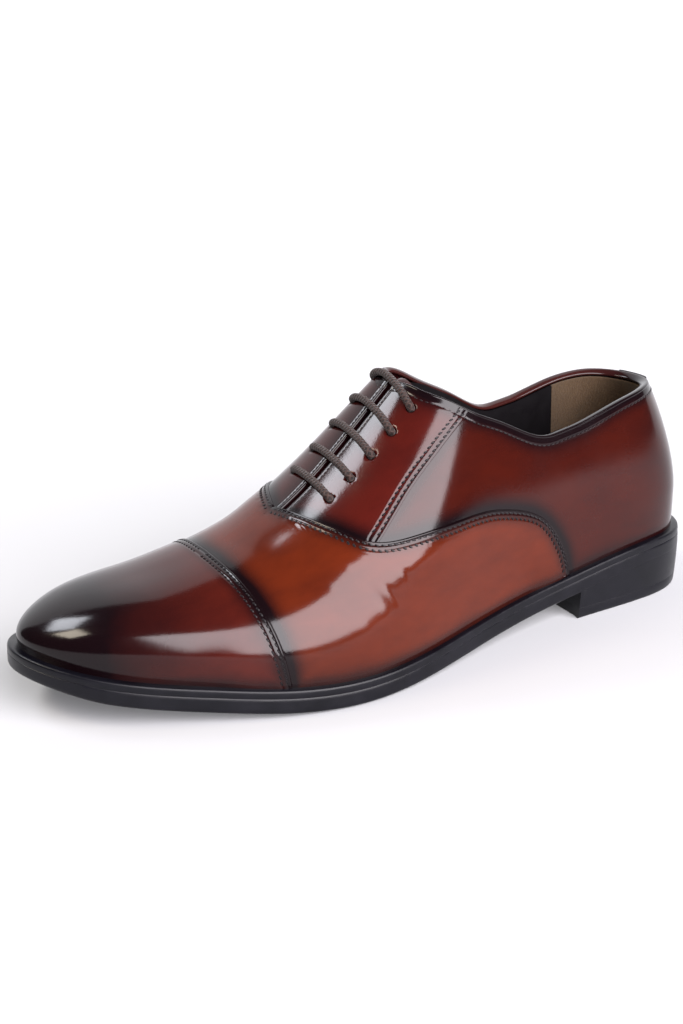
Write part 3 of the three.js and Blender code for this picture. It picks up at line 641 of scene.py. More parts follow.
def sole_material():
    """Smooth black sole edge, satin, with faint scuffs and brushed lines along it."""
    n = Nodes("sole_black")
    scuff = n.noise(70, 5, 0.65)
    lines = n.noise(420, 3, 0.5, stretch=(0.05, 0.05, 3))
    tone = n.ramp(scuff, (0.35, (0.0012, 0.0012, 0.0027)), (0.75, (0.0035, 0.0033, 0.006)))
    n.set(Base_Color=tone, Roughness=n.range(scuff, 0.3, 0.7, 0.28, 0.42), Specular_IOR_Level=0.24,
          Normal=n.bump(lines, 0.1, 0.0002))
    return n.material


def stage_material():
    """Pale matt floor, lit from within more and more toward the back of the studio."""
    n = Nodes("stage")
    behind = n.add("ShaderNodeVectorMath", {0: n.coords.outputs["Object"], 1: (-0.826, 0.5635, 0)},
                   operation="DOT_PRODUCT")
    glow = n.range(behind.outputs["Value"], 0.0, 1.0, 0.1, 0.95)
    n.set(Base_Color=(0.4, 0.405, 0.415, 1), Roughness=0.9, Specular_IOR_Level=0.1,
          Emission_Color=(0.97, 0.97, 1.0, 1), Emission_Strength=glow)
    return n.material


_materials = {}


def material(name):
    """The named material, made once."""
    if name not in _materials:
        _materials[name] = MAKERS[name]()
    return _materials[name]


# Nearly black: the leather's burnished colour, which also paints the shade at seams, lace holes and the
# lacing gap.
DARK_BURNISH_AND_SHADE = (0.0036, 0.0013, 0.0019)
MAKERS = {
    "leather_burgundy": lambda: leather("leather_burgundy", (0.05, 0.006, 0.0035), DARK_BURNISH_AND_SHADE),
    "leather_russet": lambda: leather("leather_russet", (0.076, 0.0105, 0.003), DARK_BURNISH_AND_SHADE),
    "leather_wine": lambda: leather("leather_wine", (0.047, 0.005, 0.0034), DARK_BURNISH_AND_SHADE),
    "leather_oxblood": lambda: leather("leather_oxblood", (0.032, 0.0036, 0.0018), DARK_BURNISH_AND_SHADE),
    "leather_black": lambda: leather("leather_black", (0.03, 0.007, 0.006), DARK_BURNISH_AND_SHADE),
    "lining_black": lambda: plain_material("lining_black", (0.0022, 0.0014, 0.0022), 0.6, grain=900,
                                           depth=0.0001),
    "suede": suede_material,
    "stiffener": lambda: plain_material("stiffener", (0.3, 0.24, 0.15), 0.9),
    "lace_cotton": lace_material,
    "board": lambda: plain_material("board", (0.33, 0.25, 0.16), 0.9, grain=600),
    "sole_black": sole_material,
    "top_rubber": lambda: plain_material("top_rubber", (0.008, 0.008, 0.009), 0.6, grain=800),
    "cork": lambda: plain_material("cork", (0.38, 0.22, 0.09), 0.95, grain=300, depth=0.0006),
    "steel": lambda: plain_material("steel", (0.5, 0.5, 0.52), 0.35, metallic=1.0),
    "eyelet_metal": lambda: plain_material("eyelet_metal", (0.02, 0.018, 0.018), 0.4, metallic=0.8),
    "thread": lambda: plain_material("thread", (0.004, 0.0022, 0.0034), 0.42, sheen=0.05),
}


# ---- the upper ----------------------------------------------------------------------------------
def rolled(mm, height, radius):
    """Drop of a cut edge's top: a quarter circle, `height` at the edge and 0 from `radius` on."""
    t = np.clip(1 - mm / radius, 0, 1)
    return height * (1 - np.sqrt(1 - t * t))


def graded(n, k):
    """n numbers from 0 to 1, close together at first: (e^(k t) - 1) / (e^k - 1)."""
    return np.expm1(k * np.linspace(0, 1, n)) / math.expm1(k)


def both_ends(n, k):
    """n numbers from 0 to 1, close together at both ends: t - k sin(2 pi t) / (2 pi)."""
    t = np.linspace(0, 1, n)
    return t - k * np.sin(2 * np.pi * t) / (2 * np.pi)


def groove(mm, centre, width=0.5):
    """A soft furrow of unit depth at `centre` from an edge."""
    return np.exp(-((mm - centre) / width) ** 2)


def toe_cap():
    """A fan from the cap's edge to the toe on both sides, welded along the ridge.

    Its cut edge is rounded over 0.6 mm and stands about 0.8 mm above the vamp; two furrows
    behind it hold the stitching.
    """
    q = graded(100, 3.3)
    side = np.concatenate([np.ones(len(q)), -np.ones(len(q) - 1)])[:, None]
    q = np.concatenate([q, q[-2::-1]])[:, None]
    deg = np.concatenate([[-1.2], np.linspace(0, 90, 61)])[None]
    tau = mix(cap_seam(np.maximum(deg, 0)), 1, q)
    deg, side = deg + 0 * tau, side + 0 * tau
    mm = near(last(tau, deg, side, 0), both(cap_line, 160))
    lift = 0.35 + 0.5 * (1 - ease(8, 30, mm)) - rolled(mm, 0.85, 0.6)
    lift = lift - 0.2 * groove(mm, 1.5) - 0.2 * groove(mm, 3.6)
    return slab(last(tau, deg, side, lift), last(tau, deg, side, -1.1), "uUv")


def vamp_grid(side):
    """(tau, deg) along lines straight from the feather line to the vamp's edge, or ahead to the ridge."""
    rows = np.concatenate([np.linspace(0, 0.8, 140, endpoint=False), np.linspace(0.8, 1, 32)])
    seam = through(VAMP_SEAM, 1 - rows / 0.8)
    ahead = np.clip((rows - 0.8) / 0.2, 0, 1)
    tau_top = np.where(rows < 0.8, seam[:, 0], mix(0.64, cap_seam(90), ahead))[:, None]
    deg_top = np.where(rows < 0.8, seam[:, 1], 90)[:, None]
    foot = mix(0.333, cap_seam(0), rows**0.85)[:, None]
    v = 1 - graded(108, 2.7)[::-1][None]
    tau = np.concatenate([foot, mix(foot, tau_top, v)], 1)
    deg = np.concatenate([foot * 0 - 1.2, deg_top * v], 1)
    under = 0.0025 * np.arange(1, 6)[:, None]
    tau = np.concatenate([tau, tau[-1:] + under])
    deg = np.concatenate([deg, np.repeat(deg[-1:], 5, 0)])
    return tau, deg


def folds(flat, side):
    """Depth in millimetres of the soft folds over the ball of the foot.

    Each is a short furrow exp(-(d / width)^2) running down and forward, fading out at its ends.
    """
    x, y, z = (flat[..., k] * 1000 for k in range(3))
    depth = np.zeros_like(x)
    for at, height, deep, wide, long in FOLDS:
        bent = 0.05 * (z - height) ** 2 / 3
        lean = y - at + 0.55 * (z - height) + bent
        depth += deep * np.exp(-((lean / wide) ** 2) - ((z - height) / long) ** 2)
    return depth * ease(4, 20, x * side)


def vamp():
    """Both halves of the vamp welded along the ridge ahead of the lacing.

    Its cut edge is rounded over 0.6 mm and stands 0.85 mm above the quarter; two furrows hold
    the stitching, with small pinches below them, and folds cross it where the foot bends.
    """
    parts = []
    for side in (1, -1):
        tau, deg = vamp_grid(side)
        flat = last(tau, deg, side, 0)
        mm = near(flat, both(seam_line, 300))
        lift = 0.1 + 0.8 * (1 - ease(8, 24, mm)) - rolled(mm, 0.9, 0.6)
        lift = lift - 0.2 * groove(mm, 1.5) - 0.2 * groove(mm, 3.6)
        step = np.linalg.norm(np.diff(flat[:, -1], axis=0, prepend=flat[:1, -1]), axis=-1)
        wave = np.sin(np.cumsum(step)[:, None] * 1000 * 2 * np.pi / 2.5)
        lift = lift - 0.1 * np.clip(wave, 0, 1) * groove(mm, 4.9, 0.8)
        lift = lift - folds(flat, side)
        beyond = (tau - cap_seam(np.clip(deg, 0, 90))) * 370
        lift = mix(lift, -0.9, ease(0.2, 2.0, beyond))
        outer, inner = last(tau, deg, side, lift), last(tau, deg, side, -1.3)
        points, quads = slab(outer, inner, "uUv")
        n = outer.shape[0] * outer.shape[1]
        edge_points = np.arange(n).reshape(outer.shape[:2])[:141, -1]
        parts.append((points, np.concatenate([quads, wall_quads(edge_points, edge_points + n)])))
    return join(*parts)


def coons(bottom, top, left, right, u, v):
    """A four-sided patch between curves of (tau, deg): ruled both ways less its corners."""
    a, b, c, d = bottom(u), top(u), left(v), right(v)
    ends = np.array([0.0, 1.0])
    (p, q), (r, t) = bottom(ends), top(ends)
    u, v = u[:, None, None], v[None, :, None]
    return (mix(a[:, None], b[:, None], v) + mix(c[None], d[None], u)
            - mix(mix(p, q, u), mix(r, t, u), v))


def facing_grid(side):
    """(tau, deg) between the slanted seam, the topline, the lacing edge and the vamp's seam."""
    seam = VAMP_SEAM[::-1]
    low, high = crossing(seam, side), crossing(TOPLINE, side)

    def right(v):
        tau = mix(line_past(seam, low)[0], line_past(TOPLINE, high)[0], v)
        return np.stack([tau, lacing_edge(tau, side, 1.2)], 1)

    u = both_ends(90, 0.82)
    v = np.concatenate([[-0.03, -0.02, -0.01], both_ends(110, 0.3)])
    p = coons(lambda w: line_past(seam, mix(1 - SPLIT, low, w)),
              lambda w: line_past(TOPLINE, mix(CORNER, high, w)),
              lambda w: through(SLANT_SEAM, w), right, u, np.maximum(v, 0))
    return p[..., 0] + np.maximum(-v, 0) * 0.5, p[..., 1]


def facing(side):
    """The lacing panel, standing 0.55 mm above the quarter at the slanted seam, pitted at its holes."""
    tau, deg = facing_grid(side)
    flat = last(tau, deg, side, 0)
    slant = near(flat, [slant_line(side, 160)])
    front = near(flat, [last(tau[-1], deg[-1], side, 0)])
    top = near(flat, [last(*line_past(TOPLINE, np.linspace(0.6, 1.2, 200)).T, side, 0)])
    lift = 0.1 + 0.14 * (1 - ease(6, 16, slant)) - rolled(slant, 0.2, 0.4)
    lift = lift - 0.15 * groove(slant, 1.6, 0.45) - 0.15 * groove(slant, 3.9, 0.45)
    lift = lift - 0.14 * groove(front, 1.9, 0.4) - rolled(front, 0.8, 0.9) - 0.13 * groove(top, 3.0)
    lift = lift - 1.2 * (1 - ease(1.3, 2.1, near(flat, hole_spots(side))))
    return slab(last(tau, deg, side, lift), last(tau, deg, side, -2.2))


def quarter(side):
    """The rear quarter from the back seam to the slanted seam, running on under the vamp."""
    def bottom(u):
        feather = np.stack([0.666 * u, 0 * u], 1)
        seam = through(VAMP_SEAM, mix(1, SPLIT, np.clip(2 * u - 1, 0, 1)))
        return np.where((u < 0.5)[:, None], feather, seam)

    u = np.linspace(0, 1, 161)
    v = np.concatenate([[-0.04, -0.02], 1 - graded(80, 2.6)[::-1]])
    p = coons(bottom, lambda w: through(TOPLINE, CORNER * w),
              lambda w: np.stack([0 * w, 27.2 * w], 1), lambda w: through(SLANT_SEAM, w),
              u, np.maximum(v, 0))
    tau, deg = p[..., 0], p[..., 1].copy()
    deg -= np.maximum(-v, 0)[None] * mix(30, 70, u > 0.5)[:, None]
    flat = last(tau, deg, side, 0)
    top = near(flat, [top_line(side, 200)])
    lift = -0.05 - 0.16 * groove(top, 3.0)
    return slab(last(tau, deg, side, lift), last(tau, deg, side, -1.3))


def tongue():
    """The tongue: a padded strip under the facings, its edges thinned like sqrt(1 - q^8)."""
    u, q = both_ends(70, 0.5)[:, None], both_ends(61, 0.6)[None] * 2 - 1
    tau = mix(0.667, 0.506, u) + 0.008 * np.abs(q) ** 3 * ease(0.6, 1, u)
    aside = mix(19, 25, ease(0, 0.3, u)) * q + 5 * ease(0, 0.3, u)
    depth = -1.95 - 4.6 * ease(0.655, 0.612, tau)
    thin = 1.1 * (1 - np.sqrt(1 - np.minimum(np.abs(q), 0.999) ** 8))
    thin = np.maximum(thin, 1.1 * (1 - np.sqrt(1 - np.minimum(ease(0.965, 1, u), 0.999) ** 2)))
    furrow = 0.25 * groove((1 - np.abs(q)) * 24, 3.0, 0.6) * (1 - ease(0.93, 0.97, u))
    top, under = depth - thin - furrow, depth - 2.3 + thin
    return slab(last(tau, 90 - aside, 1, top), last(tau, 90 - aside, 1, under))


def band(reach, low, high, depths, nu, nv):
    """A strip of both halves round the heel, from `reach` on one side to `reach` on the other."""
    q, v = np.linspace(-1, 1, nu)[:, None], np.linspace(0, 1, nv)[None]
    tau = np.abs(q) * reach + 0 * v
    deg, side = mix(low(tau), high(tau), v), np.where(q >= 0, 1.0, -1.0)
    return slab(last(tau, deg, side, depths[0]), last(tau, deg, side, depths[1]))


def lining_top(tau):
    """Degrees at which the linings end, just under the topline's binding."""
    knots = through(TOPLINE, np.linspace(0, 1, 400))
    return np.minimum(np.interp(tau, knots[:, 0], knots[:, 1]), 54) - 0.5


def quarter_lining(side):
    """Lining of one side from the heel grip forward."""
    u, v = np.linspace(0, 1, 60)[:, None], np.linspace(0, 1, 30)[None]
    high = lining_top(mix(0.222, 0.597, u))
    deg = high * v
    front = 0.591 + 0.075 * ease(45, 72, deg)
    tau = mix(0.222, front, u)
    return slab(last(tau, deg, side, -3.45), last(tau, deg, side, -4.2))


def vamp_lining():
    """Lining of the forepart, both halves welded along the ridge."""
    q = np.linspace(0, 1, 60)
    side = np.concatenate([np.ones(60), -np.ones(59)])[:, None]
    q = np.concatenate([q, q[-2::-1]])[:, None]
    deg = np.linspace(0, 90, 40)[None] + 0 * q
    tau = mix(0.6 + 0.075 * ease(45, 72, deg), 1, q)
    return slab(last(tau, deg, side, -3.4), last(tau, deg, side, -4.2), "uUv")


def binding():
    """The topline's folded edge: a thin flat-sided bead right round from facing to facing.

    Its section spans the whole edge, thick at the heel and thin along the facings.
    """
    q = np.linspace(0.006 - crossing(TOPLINE, -1), crossing(TOPLINE, 1) - 0.006, 400)
    side = np.where(q >= 0, 1.0, -1.0)
    tau, deg = line_past(TOPLINE, np.abs(q)).T
    on = line_past(TOPLINE, np.abs(q) + 0.01).T
    p = last(tau, deg, side, 0)
    n = last(tau, deg, side, 1) - p
    n /= np.linalg.norm(n, axis=1, keepdims=True)
    up = -np.cross(n, last(*on, side, 0) - p) * side[:, None]
    up /= np.linalg.norm(up, axis=1, keepdims=True)
    thick = mix(2.2, 1.35, ease(0.72, 0.8, np.abs(q)))[:, None] / 1000
    centre = p + n * (0.0002 - thick) + up * 0.0004
    centre, n, up = (np.stack([np.convolve(np.pad(a[:, k], 4, "edge"), np.ones(9) / 9, "valid")
                               for k in range(3)], 1) for a in (centre, n, up))
    return sweep(centre, n * thick, up * 0.0009, 20, 2.6)


def heel_tab():
    """The black strip over the back seam, tapering downward, its edges rounded over 0.6 mm."""
    q, v = both_ends(41, 0.6)[:, None] * 2 - 1, both_ends(60, 0.5)[None]
    width = mix(0.014, 0.05, v**0.9) * np.sqrt(np.minimum(v / 0.06, 1) * 0.75 + 0.25)
    tau = np.abs(q) * width
    deg, side = mix(13.5, 27.4, v), np.where(q >= 0, 1.0, -1.0)
    mm = np.minimum((1 - np.abs(q)) * width * 330, v * 18 + 0 * q)
    lift = 0.95 - rolled(mm, 0.9, 0.6) - 0.15 * groove(mm, 1.5, 0.4)
    return slab(last(tau, deg, side, lift), last(tau, deg, side, -0.6))


# ---- stitches -------------------------------------------------------------------------------
def stitches(path, normals, length, pitch, radius, tilt=0.0):
    """Short threads laid along a path: a spindle of 6 sides each, fat in the middle.

    Along each the radius follows sqrt(1 - t^4), and its ends sink by 1.1 radii times t^2.
    """
    d = np.concatenate([[0], np.cumsum(np.linalg.norm(np.diff(path, axis=0), axis=1))]) * 1000
    spots = np.arange(pitch / 2, d[-1] - pitch / 2, pitch)

    def along(values, shift=0.0):
        return np.stack([np.interp(spots + shift, d, values[:, k]) for k in range(3)], 1)

    at, up, run = along(path), along(normals), along(path, 0.3) - along(path, -0.3)
    run /= np.linalg.norm(run, axis=1, keepdims=True)
    up = up - run * (up * run).sum(1, keepdims=True)
    up /= np.linalg.norm(up, axis=1, keepdims=True)
    run = run * math.cos(tilt) + np.cross(run, up) * math.sin(tilt)
    across = np.cross(run, up)
    t = np.array([-1, -0.85, -0.4, 0.4, 0.85, 1.0])[:, None]
    angle = np.linspace(0, 2 * np.pi, 7)[None]
    fat = np.sqrt(np.clip(1 - t**4, 0, 1))
    x = t * length / 2 + 0 * angle
    y = fat * np.cos(angle) * radius
    z = fat * np.sin(angle) * radius - t**2 * radius * 1.1
    axes = [a[:, None, None] for a in (run, across, up)]
    points = at[:, None, None] + sum(a * c[..., None] for a, c in zip(axes, (x, y, z))) / 1000
    size = x.size
    quads = grid_quads(*x.shape)[None] + (np.arange(len(spots)) * size)[:, None, None]
    return points.reshape(-1, 3), quads.reshape(-1, 4)


def row(knots, side, mm, lift, length=2.3, pitch=2.5, radius=0.4, tilt=0.0):
    """A row of stitches `mm` across from a line of (tau, deg) knots, `lift` above the last."""
    tau, deg = beside(knots[:, 0], knots[:, 1], side, mm)
    deg = np.maximum(deg, 0)
    path = last(tau, deg, side, lift)
    return stitches(path, last(tau, deg, side, lift + 1) - path, length, pitch, radius, tilt)


def span(knots, a, b, n=200):
    """(tau, deg) along part of a line of knots."""
    return through(knots, np.linspace(a, b, n))


def cap_rows():
    """Two rows on the toe cap along its edge."""
    deg = np.linspace(1.5, 89.5, 200)
    line = np.stack([cap_seam(deg), deg], 1)
    return join(*(row(line, side, mm, 0.72, tilt=-0.3 * side) for side in (1, -1) for mm in (1.5, 3.6)))


def vamp_rows():
    """Two rows on the vamp along its edge."""
    line = span(VAMP_SEAM, 0.004, 0.99, 500)
    inner = [row(line, side, -1.5, 0.78, tilt=0.3 * side) for side in (1, -1)]
    outer = [row(line, side, -3.6, 0.74, 2.4, 2.5, 0.52, 0.75 * side) for side in (1, -1)]
    return join(*inner, *outer)


def quarter_rows():
    """Rows on the facings and quarters: the slanted seam's two, the topline's, the lacing edge's."""
    parts = []
    for side in (1, -1):
        for mm in (1.6, 3.9):
            parts.append(row(span(SLANT_SEAM, 0.04, 0.97, 90), side, mm, 0.24, tilt=0.35 * side))
        line = line_past(TOPLINE, np.linspace(0.02, crossing(TOPLINE, side) - 0.03, 400))
        parts.append(row(line, side, 3.0, -0.02, 1.9, 2.4, 0.26))
        tau = np.linspace(0.634, 0.524, 120)
        line = np.stack([tau, lacing_edge(tau, side, 1.2)], 1)
        parts.append(row(line, side, -1.9, 0.02, 1.5, 1.9, 0.22))
    return join(*parts)


# ---- lace ------------------------------------------------------------------------------------
def hole_point(at, side, mm, off):
    """The strand's centre at a hole, `mm` towards the ridge and `off` above the leather."""
    tau, deg = hole(at, side)
    return last(tau, deg + mm * 1.75, side, off)


def through_hole(at, side):
    """The strand's centres going down a hole."""
    return [hole_point(at, side, mm, off) for mm, off in ((0.5, 1.1), (0, -0.1), (0, -1.4), (0, -2.7))]


def bar(at, side):
    """Up one hole, straight across over both facings and down the other."""
    q = np.linspace(-1, 1, 13)[1:-1]
    near_side = np.where(q < 0, side, -side)
    tau, deg = hole(at, side)[0], np.where(near_side > 0, hole(at, 1)[1], hole(at, -1)[1])
    high = deg + 2.6 + (90 - deg - 2.6) * (1 - np.abs(q) ** 1.15)
    over = last(tau, high, near_side, 1.85 + 0.15 * (1 - q * q))
    return [*through_hole(at, side)[::-1], *over, *through_hole(at, -side)]


def beneath(start, stop, side, aside):
    """A run under one facing from a hole to another, bowed `aside` millimetres away from the ridge."""
    n = abs(stop - start) * 3
    cut = 0.22 / abs(stop - start)
    t = np.arange(n + 1) / n
    return [hole_point(mix(start, stop, mix(cut, 1 - cut, k)), side,
                       -aside * math.sin(math.pi * min(k, 1 - k)) ** 0.5, -4.45) for k in t]


def lace():
    """Five bars and the runs beneath them as one round cord with its length and turn as u and v."""
    knots = [hole_point(3 + d, 1, mm, off) for d, mm, off in
             ((0.85, -4, -4.45), (0.5, -4, -4.45), (0.22, -1.2, -4.3))]
    knots += bar(3, 1) + beneath(3, 1, -1, 4) + bar(1, -1) + beneath(1, 0, 1, 0)
    knots += bar(0, 1) + beneath(0, 2, -1, 0) + bar(2, -1) + beneath(2, 4, 1, 0) + bar(4, 1)
    knots += [hole_point(at, -1, mm, off) for at, mm, off in
              ((3.78, 0, -4.3), (3.5, 0, -4.45), (3.2, -2, -4.45))]
    knots = np.array(knots)
    path = resample(through(knots, np.linspace(0, 1, len(knots) * 8)), 0.0005)
    for _ in range(3):
        path[1:-1] = (path[:-2] + 2 * path[1:-1] + path[2:]) / 4
    sides = 16
    points, quads = sweep(path, *tube_axes(path, 0.00155), sides)
    u = np.concatenate([[0], np.arange(len(path)), [len(path) - 1]]) * 0.5 / 1.7
    v = np.linspace(0, 3, sides + 1)
    uv = np.stack(np.meshgrid(u, v, indexing="ij"), -1).reshape(-1, 2)
    return points, quads, uv


# ---- sole --------------------------------------------------------------------------------------
def sole_section(s):
    """(inset, drop below the sole's top edge) down one side of its section.

    Both edges are rounded, the lower one less towards the heel, where the block carries on.
    """
    soft = ease(72, 92, s)
    return [(16.0, 0.15), (6.0, 0.1), (2.2, 0.0), (1.2, 0.03), (0.75, 0.18), (0.45, 0.5), (0.32, 1.0),
            (0.25, 1.6), (0.22, 2.9), (0.26, 3.1), (0.36, 3.25), (0.2, 3.45), (0.12, 4.5), (0.02, 7.2),
            (0.0, 8.3), (0.05 + 0.1 * soft, 8.8), (0.15 + 0.4 * soft, 9.2), (0.4 + soft, 9.45),
            (1.2 + 1.2 * soft, 9.5), (16.0, 9.5)]


def sole_body():
    """The sole's whole edge as one loft: its section carried round the outline."""
    t = np.linspace(0, 1, 200)
    tau = mix(t, (1 - np.cos(np.pi * t)) / 2, 0.6)
    rings = []
    for side in (1, -1):
        section = sole_section(edge(tau, side, 0)[1])
        for inset, drop in section if side > 0 else section[::-1]:
            x, s = edge(tau, side, inset + 0 * tau)
            thin = 1.2 * ease(285, 308, s) * ease(2, 8, drop)
            rings.append(place(x, s, sole_top(s) - drop + thin))
    rings.append(rings[0])
    points = np.stack(rings, 1)
    return points.reshape(-1, 3), grid_quads(*points.shape[:2])


def tau_at(s, side):
    """tau at which the outline passes s, read off a fine table."""
    t = np.linspace(0.03, 0.97, 3000)
    return float(np.interp(s, edge(t, side, 0)[1], t))


def heel_body():
    """The heel block: outline sections from the sole down to the floor, its front face hollowed.

    Narrow grooves mark the joints of the lifts; the foot of the block is rounded over 1 mm.
    """
    turn = np.sin(np.linspace(0, np.pi / 2, 70)) ** 1.3
    levels = [(1.0, 8.0, None), (0.02, 8.9, None), (0.05, None, 13.0), (0.25, None, 8.0),
              (0.4, None, 5.3), (0.42, None, 5.05), (0.52, None, 4.95), (0.44, None, 4.8),
              (0.65, None, 1.4), (0.8, None, 0.6), (1.1, None, 0.2), (1.8, None, 0.0)]
    right, left = turn * tau_at(78, 1), turn * tau_at(78, -1)
    across = np.linspace(0, 1, 25)[1:-1]
    rings = []
    for inset, drop, z in levels:
        xr, sr = edge(right, 1, inset)
        xl, sl = edge(left, -1, inset)
        front = mix(sr[-1], sl[-1], across) - 2.6 * np.sin(np.pi * across) - inset * 0.4
        x = np.concatenate([xr, mix(xr[-1], xl[-1], across), xl[::-1]])
        s = np.concatenate([sr, front, sl[::-1]])
        rings.append(place(x, s, sole_top(s) - drop if z is None else np.full(len(x), z)))
    ends = [np.broadcast_to(r.mean(0), r.shape) for r in (rings[0], rings[-1])]
    points = np.stack([ends[0], *rings, ends[1]])
    return points.reshape(-1, 3), grid_quads(*points.shape[:2])


def insole_plate(inset, low, high):
    """A plate inside the shoe, its upper edge turned down 0.4 mm at the rim."""
    t = np.linspace(0, 1, 90)
    tau = mix(t, (1 - np.cos(np.pi * t)) / 2, 0.6)
    rings = []
    for side in (1, -1):
        section = [(inset + 12, high), (inset + 4, high), (inset + 1, high - 0.05),
                   (inset, high - 0.4), (inset, low), (inset + 12, low)]
        for inward, up in section if side > 0 else section[::-1]:
            x, s = edge(tau, side, inward + 0 * tau)
            rings.append(place(x, s, sole_top(s) + up))
    rings.append(rings[0])
    points = np.stack(rings, 1)
    return points.reshape(-1, 3), grid_quads(*points.shape[:2])


# ---- operators -------------------------------------------------------------------------------
HIDDEN = {
    "heel_counter": "stiffener", "toe_puff": "stiffener", "cork_filler": "cork",
    "shank_filler": "board", "shank": "steel",
}
def piece(name, shape, look, replaced=(), body=None, uv=None, kinds=()):
    """Adds a finished mesh, gives it its look and ties it to its body; with body None it is left
    unparented, its transform baked in.
    """
    obj = new_object(name, *shape, material(look), uv=uv)
    # kinds name the bands of burnishing and painted shade stored on the points for the leather's colour.
    if kinds:
        points = np.empty(len(obj.data.vertices) * 3, np.float32)
        obj.data.vertices.foreach_get("co", points)
        values = burnish_and_shade(points.reshape(-1, 3).astype(float), kinds)
        layer = obj.data.attributes.new("burnish_and_shade", "FLOAT", "POINT")
        layer.data.foreach_set("value", values.astype(np.float32))
    if body:
        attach(obj, body)
    else:
        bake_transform(obj)
    if replaced:
        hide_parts(*replaced)
    return obj


class OxfordSettings(bpy.types.PropertyGroup):
    """What the panel offers."""

    lamp_power: bpy.props.FloatProperty(name="Lamp power", description="Scales every studio lamp",
                                        default=1.0, min=0.0, subtype="FACTOR")


class OXFORD_OT_sole(bpy.types.Operator):
    """Sole, heel block and what lies inside the shoe"""

    bl_idname = "oxford.sole"
    bl_label = "Sole"

    def execute(self, context):
        piece("sole", sole_body(), "sole_black",
              ("outsole_fore", "outsole_rear", "welt_fore", "welt_rear"))
        piece("heel_block", heel_body(), "sole_black", ("heel_wedge", "heel_lift", "top_piece"),
              "shoe")
        piece("insole", insole_plate(8.8, 0.5, 2.2), "board", ("insole_board",))
        piece("sock", insole_plate(10.6, 2.3, 3.6), "lining_black", ("sock_liner",))
        return {"FINISHED"}


class OXFORD_OT_upper(bpy.types.Operator):
    """Toe cap, vamp, facings and quarters"""

    bl_idname = "oxford.upper"
    bl_label = "Upper"

    def execute(self, context):
        # In kinds, seam, slant, cap, top and feather are painted shade beside raised edges over burnished
        # ones, feather also a painted reflection of the sole; lacing is painted shade in the holes; toe and
        # heel are burnishing.
        piece("cap", toe_cap(), "leather_burgundy", ("toe_cap",), "forepart",
              kinds=("cap", "toe", "feather"))
        piece("vamp_panel", vamp(), "leather_russet", ("vamp",), None,
              kinds=("seam", "cap", "feather"))
        for word, side in (("lateral", 1), ("medial", -1)):
            piece(f"facing_panel_{word}", facing(side), "leather_wine", (f"facing_{word}",),
                  "shoe", kinds=("seam", "slant", "lacing", "top"))
            piece(f"quarter_panel_{word}", quarter(side), "leather_oxblood",
                  (f"quarter_{word}",), "shoe",
                  kinds=("seam", "slant", "top", "feather", "heel"))
        return {"FINISHED"}


class OXFORD_OT_inside(bpy.types.Operator):
    """Linings, heel grip and tongue"""

    bl_idname = "oxford.inside"
    bl_label = "Inside"

    def execute(self, context):
        for word, side in (("lateral", 1), ("medial", -1)):
            piece(f"lining_{word}", quarter_lining(side), "lining_black",
                  (f"quarter_lining_{word}",), "shoe")
        piece("lining_fore", vamp_lining(), "lining_black", ("vamp_lining",), None)
        piece("heel_grip", band(0.233, lambda t: 0 * t, lining_top, (-3.4, -4.35), 91, 40),
              "suede", ("heel_grip_lining",), "shoe")
        # The tongue darkens along the lacing gap: painted shade under the facings.
        piece("tongue_pad", tongue(), "leather_wine", ("tongue", "tongue_lining"), "tongue",
              kinds=("lacing",))
        return {"FINISHED"}


class OXFORD_OT_trim(bpy.types.Operator):
    """Topline binding, heel tab and the lace"""

    bl_idname = "oxford.trim"
    bl_label = "Trim and lace"

    def execute(self, context):
        piece("binding", binding(), "leather_black", ("topline_binding",), "shoe",
              kinds=("edge",))
        piece("back_tab", heel_tab(), "leather_black", ("heel_tab",), "shoe",
              kinds=("dark",))
        points, quads, uv = lace()
        piece("lace_cord", (points, quads), "lace_cotton", ("lace",), "shoe", uv)
        return {"FINISHED"}


class OXFORD_OT_stitching(bpy.types.Operator):
    """Every row of thread"""

    bl_idname = "oxford.stitching"
    bl_label = "Stitching"

    def execute(self, context):
        piece("thread_cap", cap_rows(), "thread", body="forepart")
        piece("thread_vamp", vamp_rows(), "thread")
        piece("thread_quarter", quarter_rows(), "thread", body="shoe")
        return {"FINISHED"}


class OXFORD_OT_frame(bpy.types.Operator):
    """Looks of the CAD pieces that stay inside the shoe"""

    bl_idname = "oxford.frame"
    bl_label = "Inner parts"

    def execute(self, context):
        for name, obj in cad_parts.items():
            look = HIDDEN.get(name)
            if name.startswith("eyelet"):
                look = "eyelet_metal"
            if name.startswith("heel_nail"):
                look = "steel"
            if look:
                obj.data.materials.clear()
                obj.data.materials.append(material(look))
        return {"FINISHED"}


def lamp(name, size, power, at, target, colour):
    """A rectangular studio lamp facing its target."""
    data = bpy.data.lights.new(name, "AREA")
    data.shape = "RECTANGLE"
    data.size, data.size_y = size
    data.energy = power
    data.color = colour
    obj = bpy.data.objects.new(name, data)
    obj.location = at
    obj.rotation_euler = (Vector(target) - Vector(at)).to_track_quat("-Z", "Y").to_euler()
    bpy.context.scene.collection.objects.link(obj)
    return obj


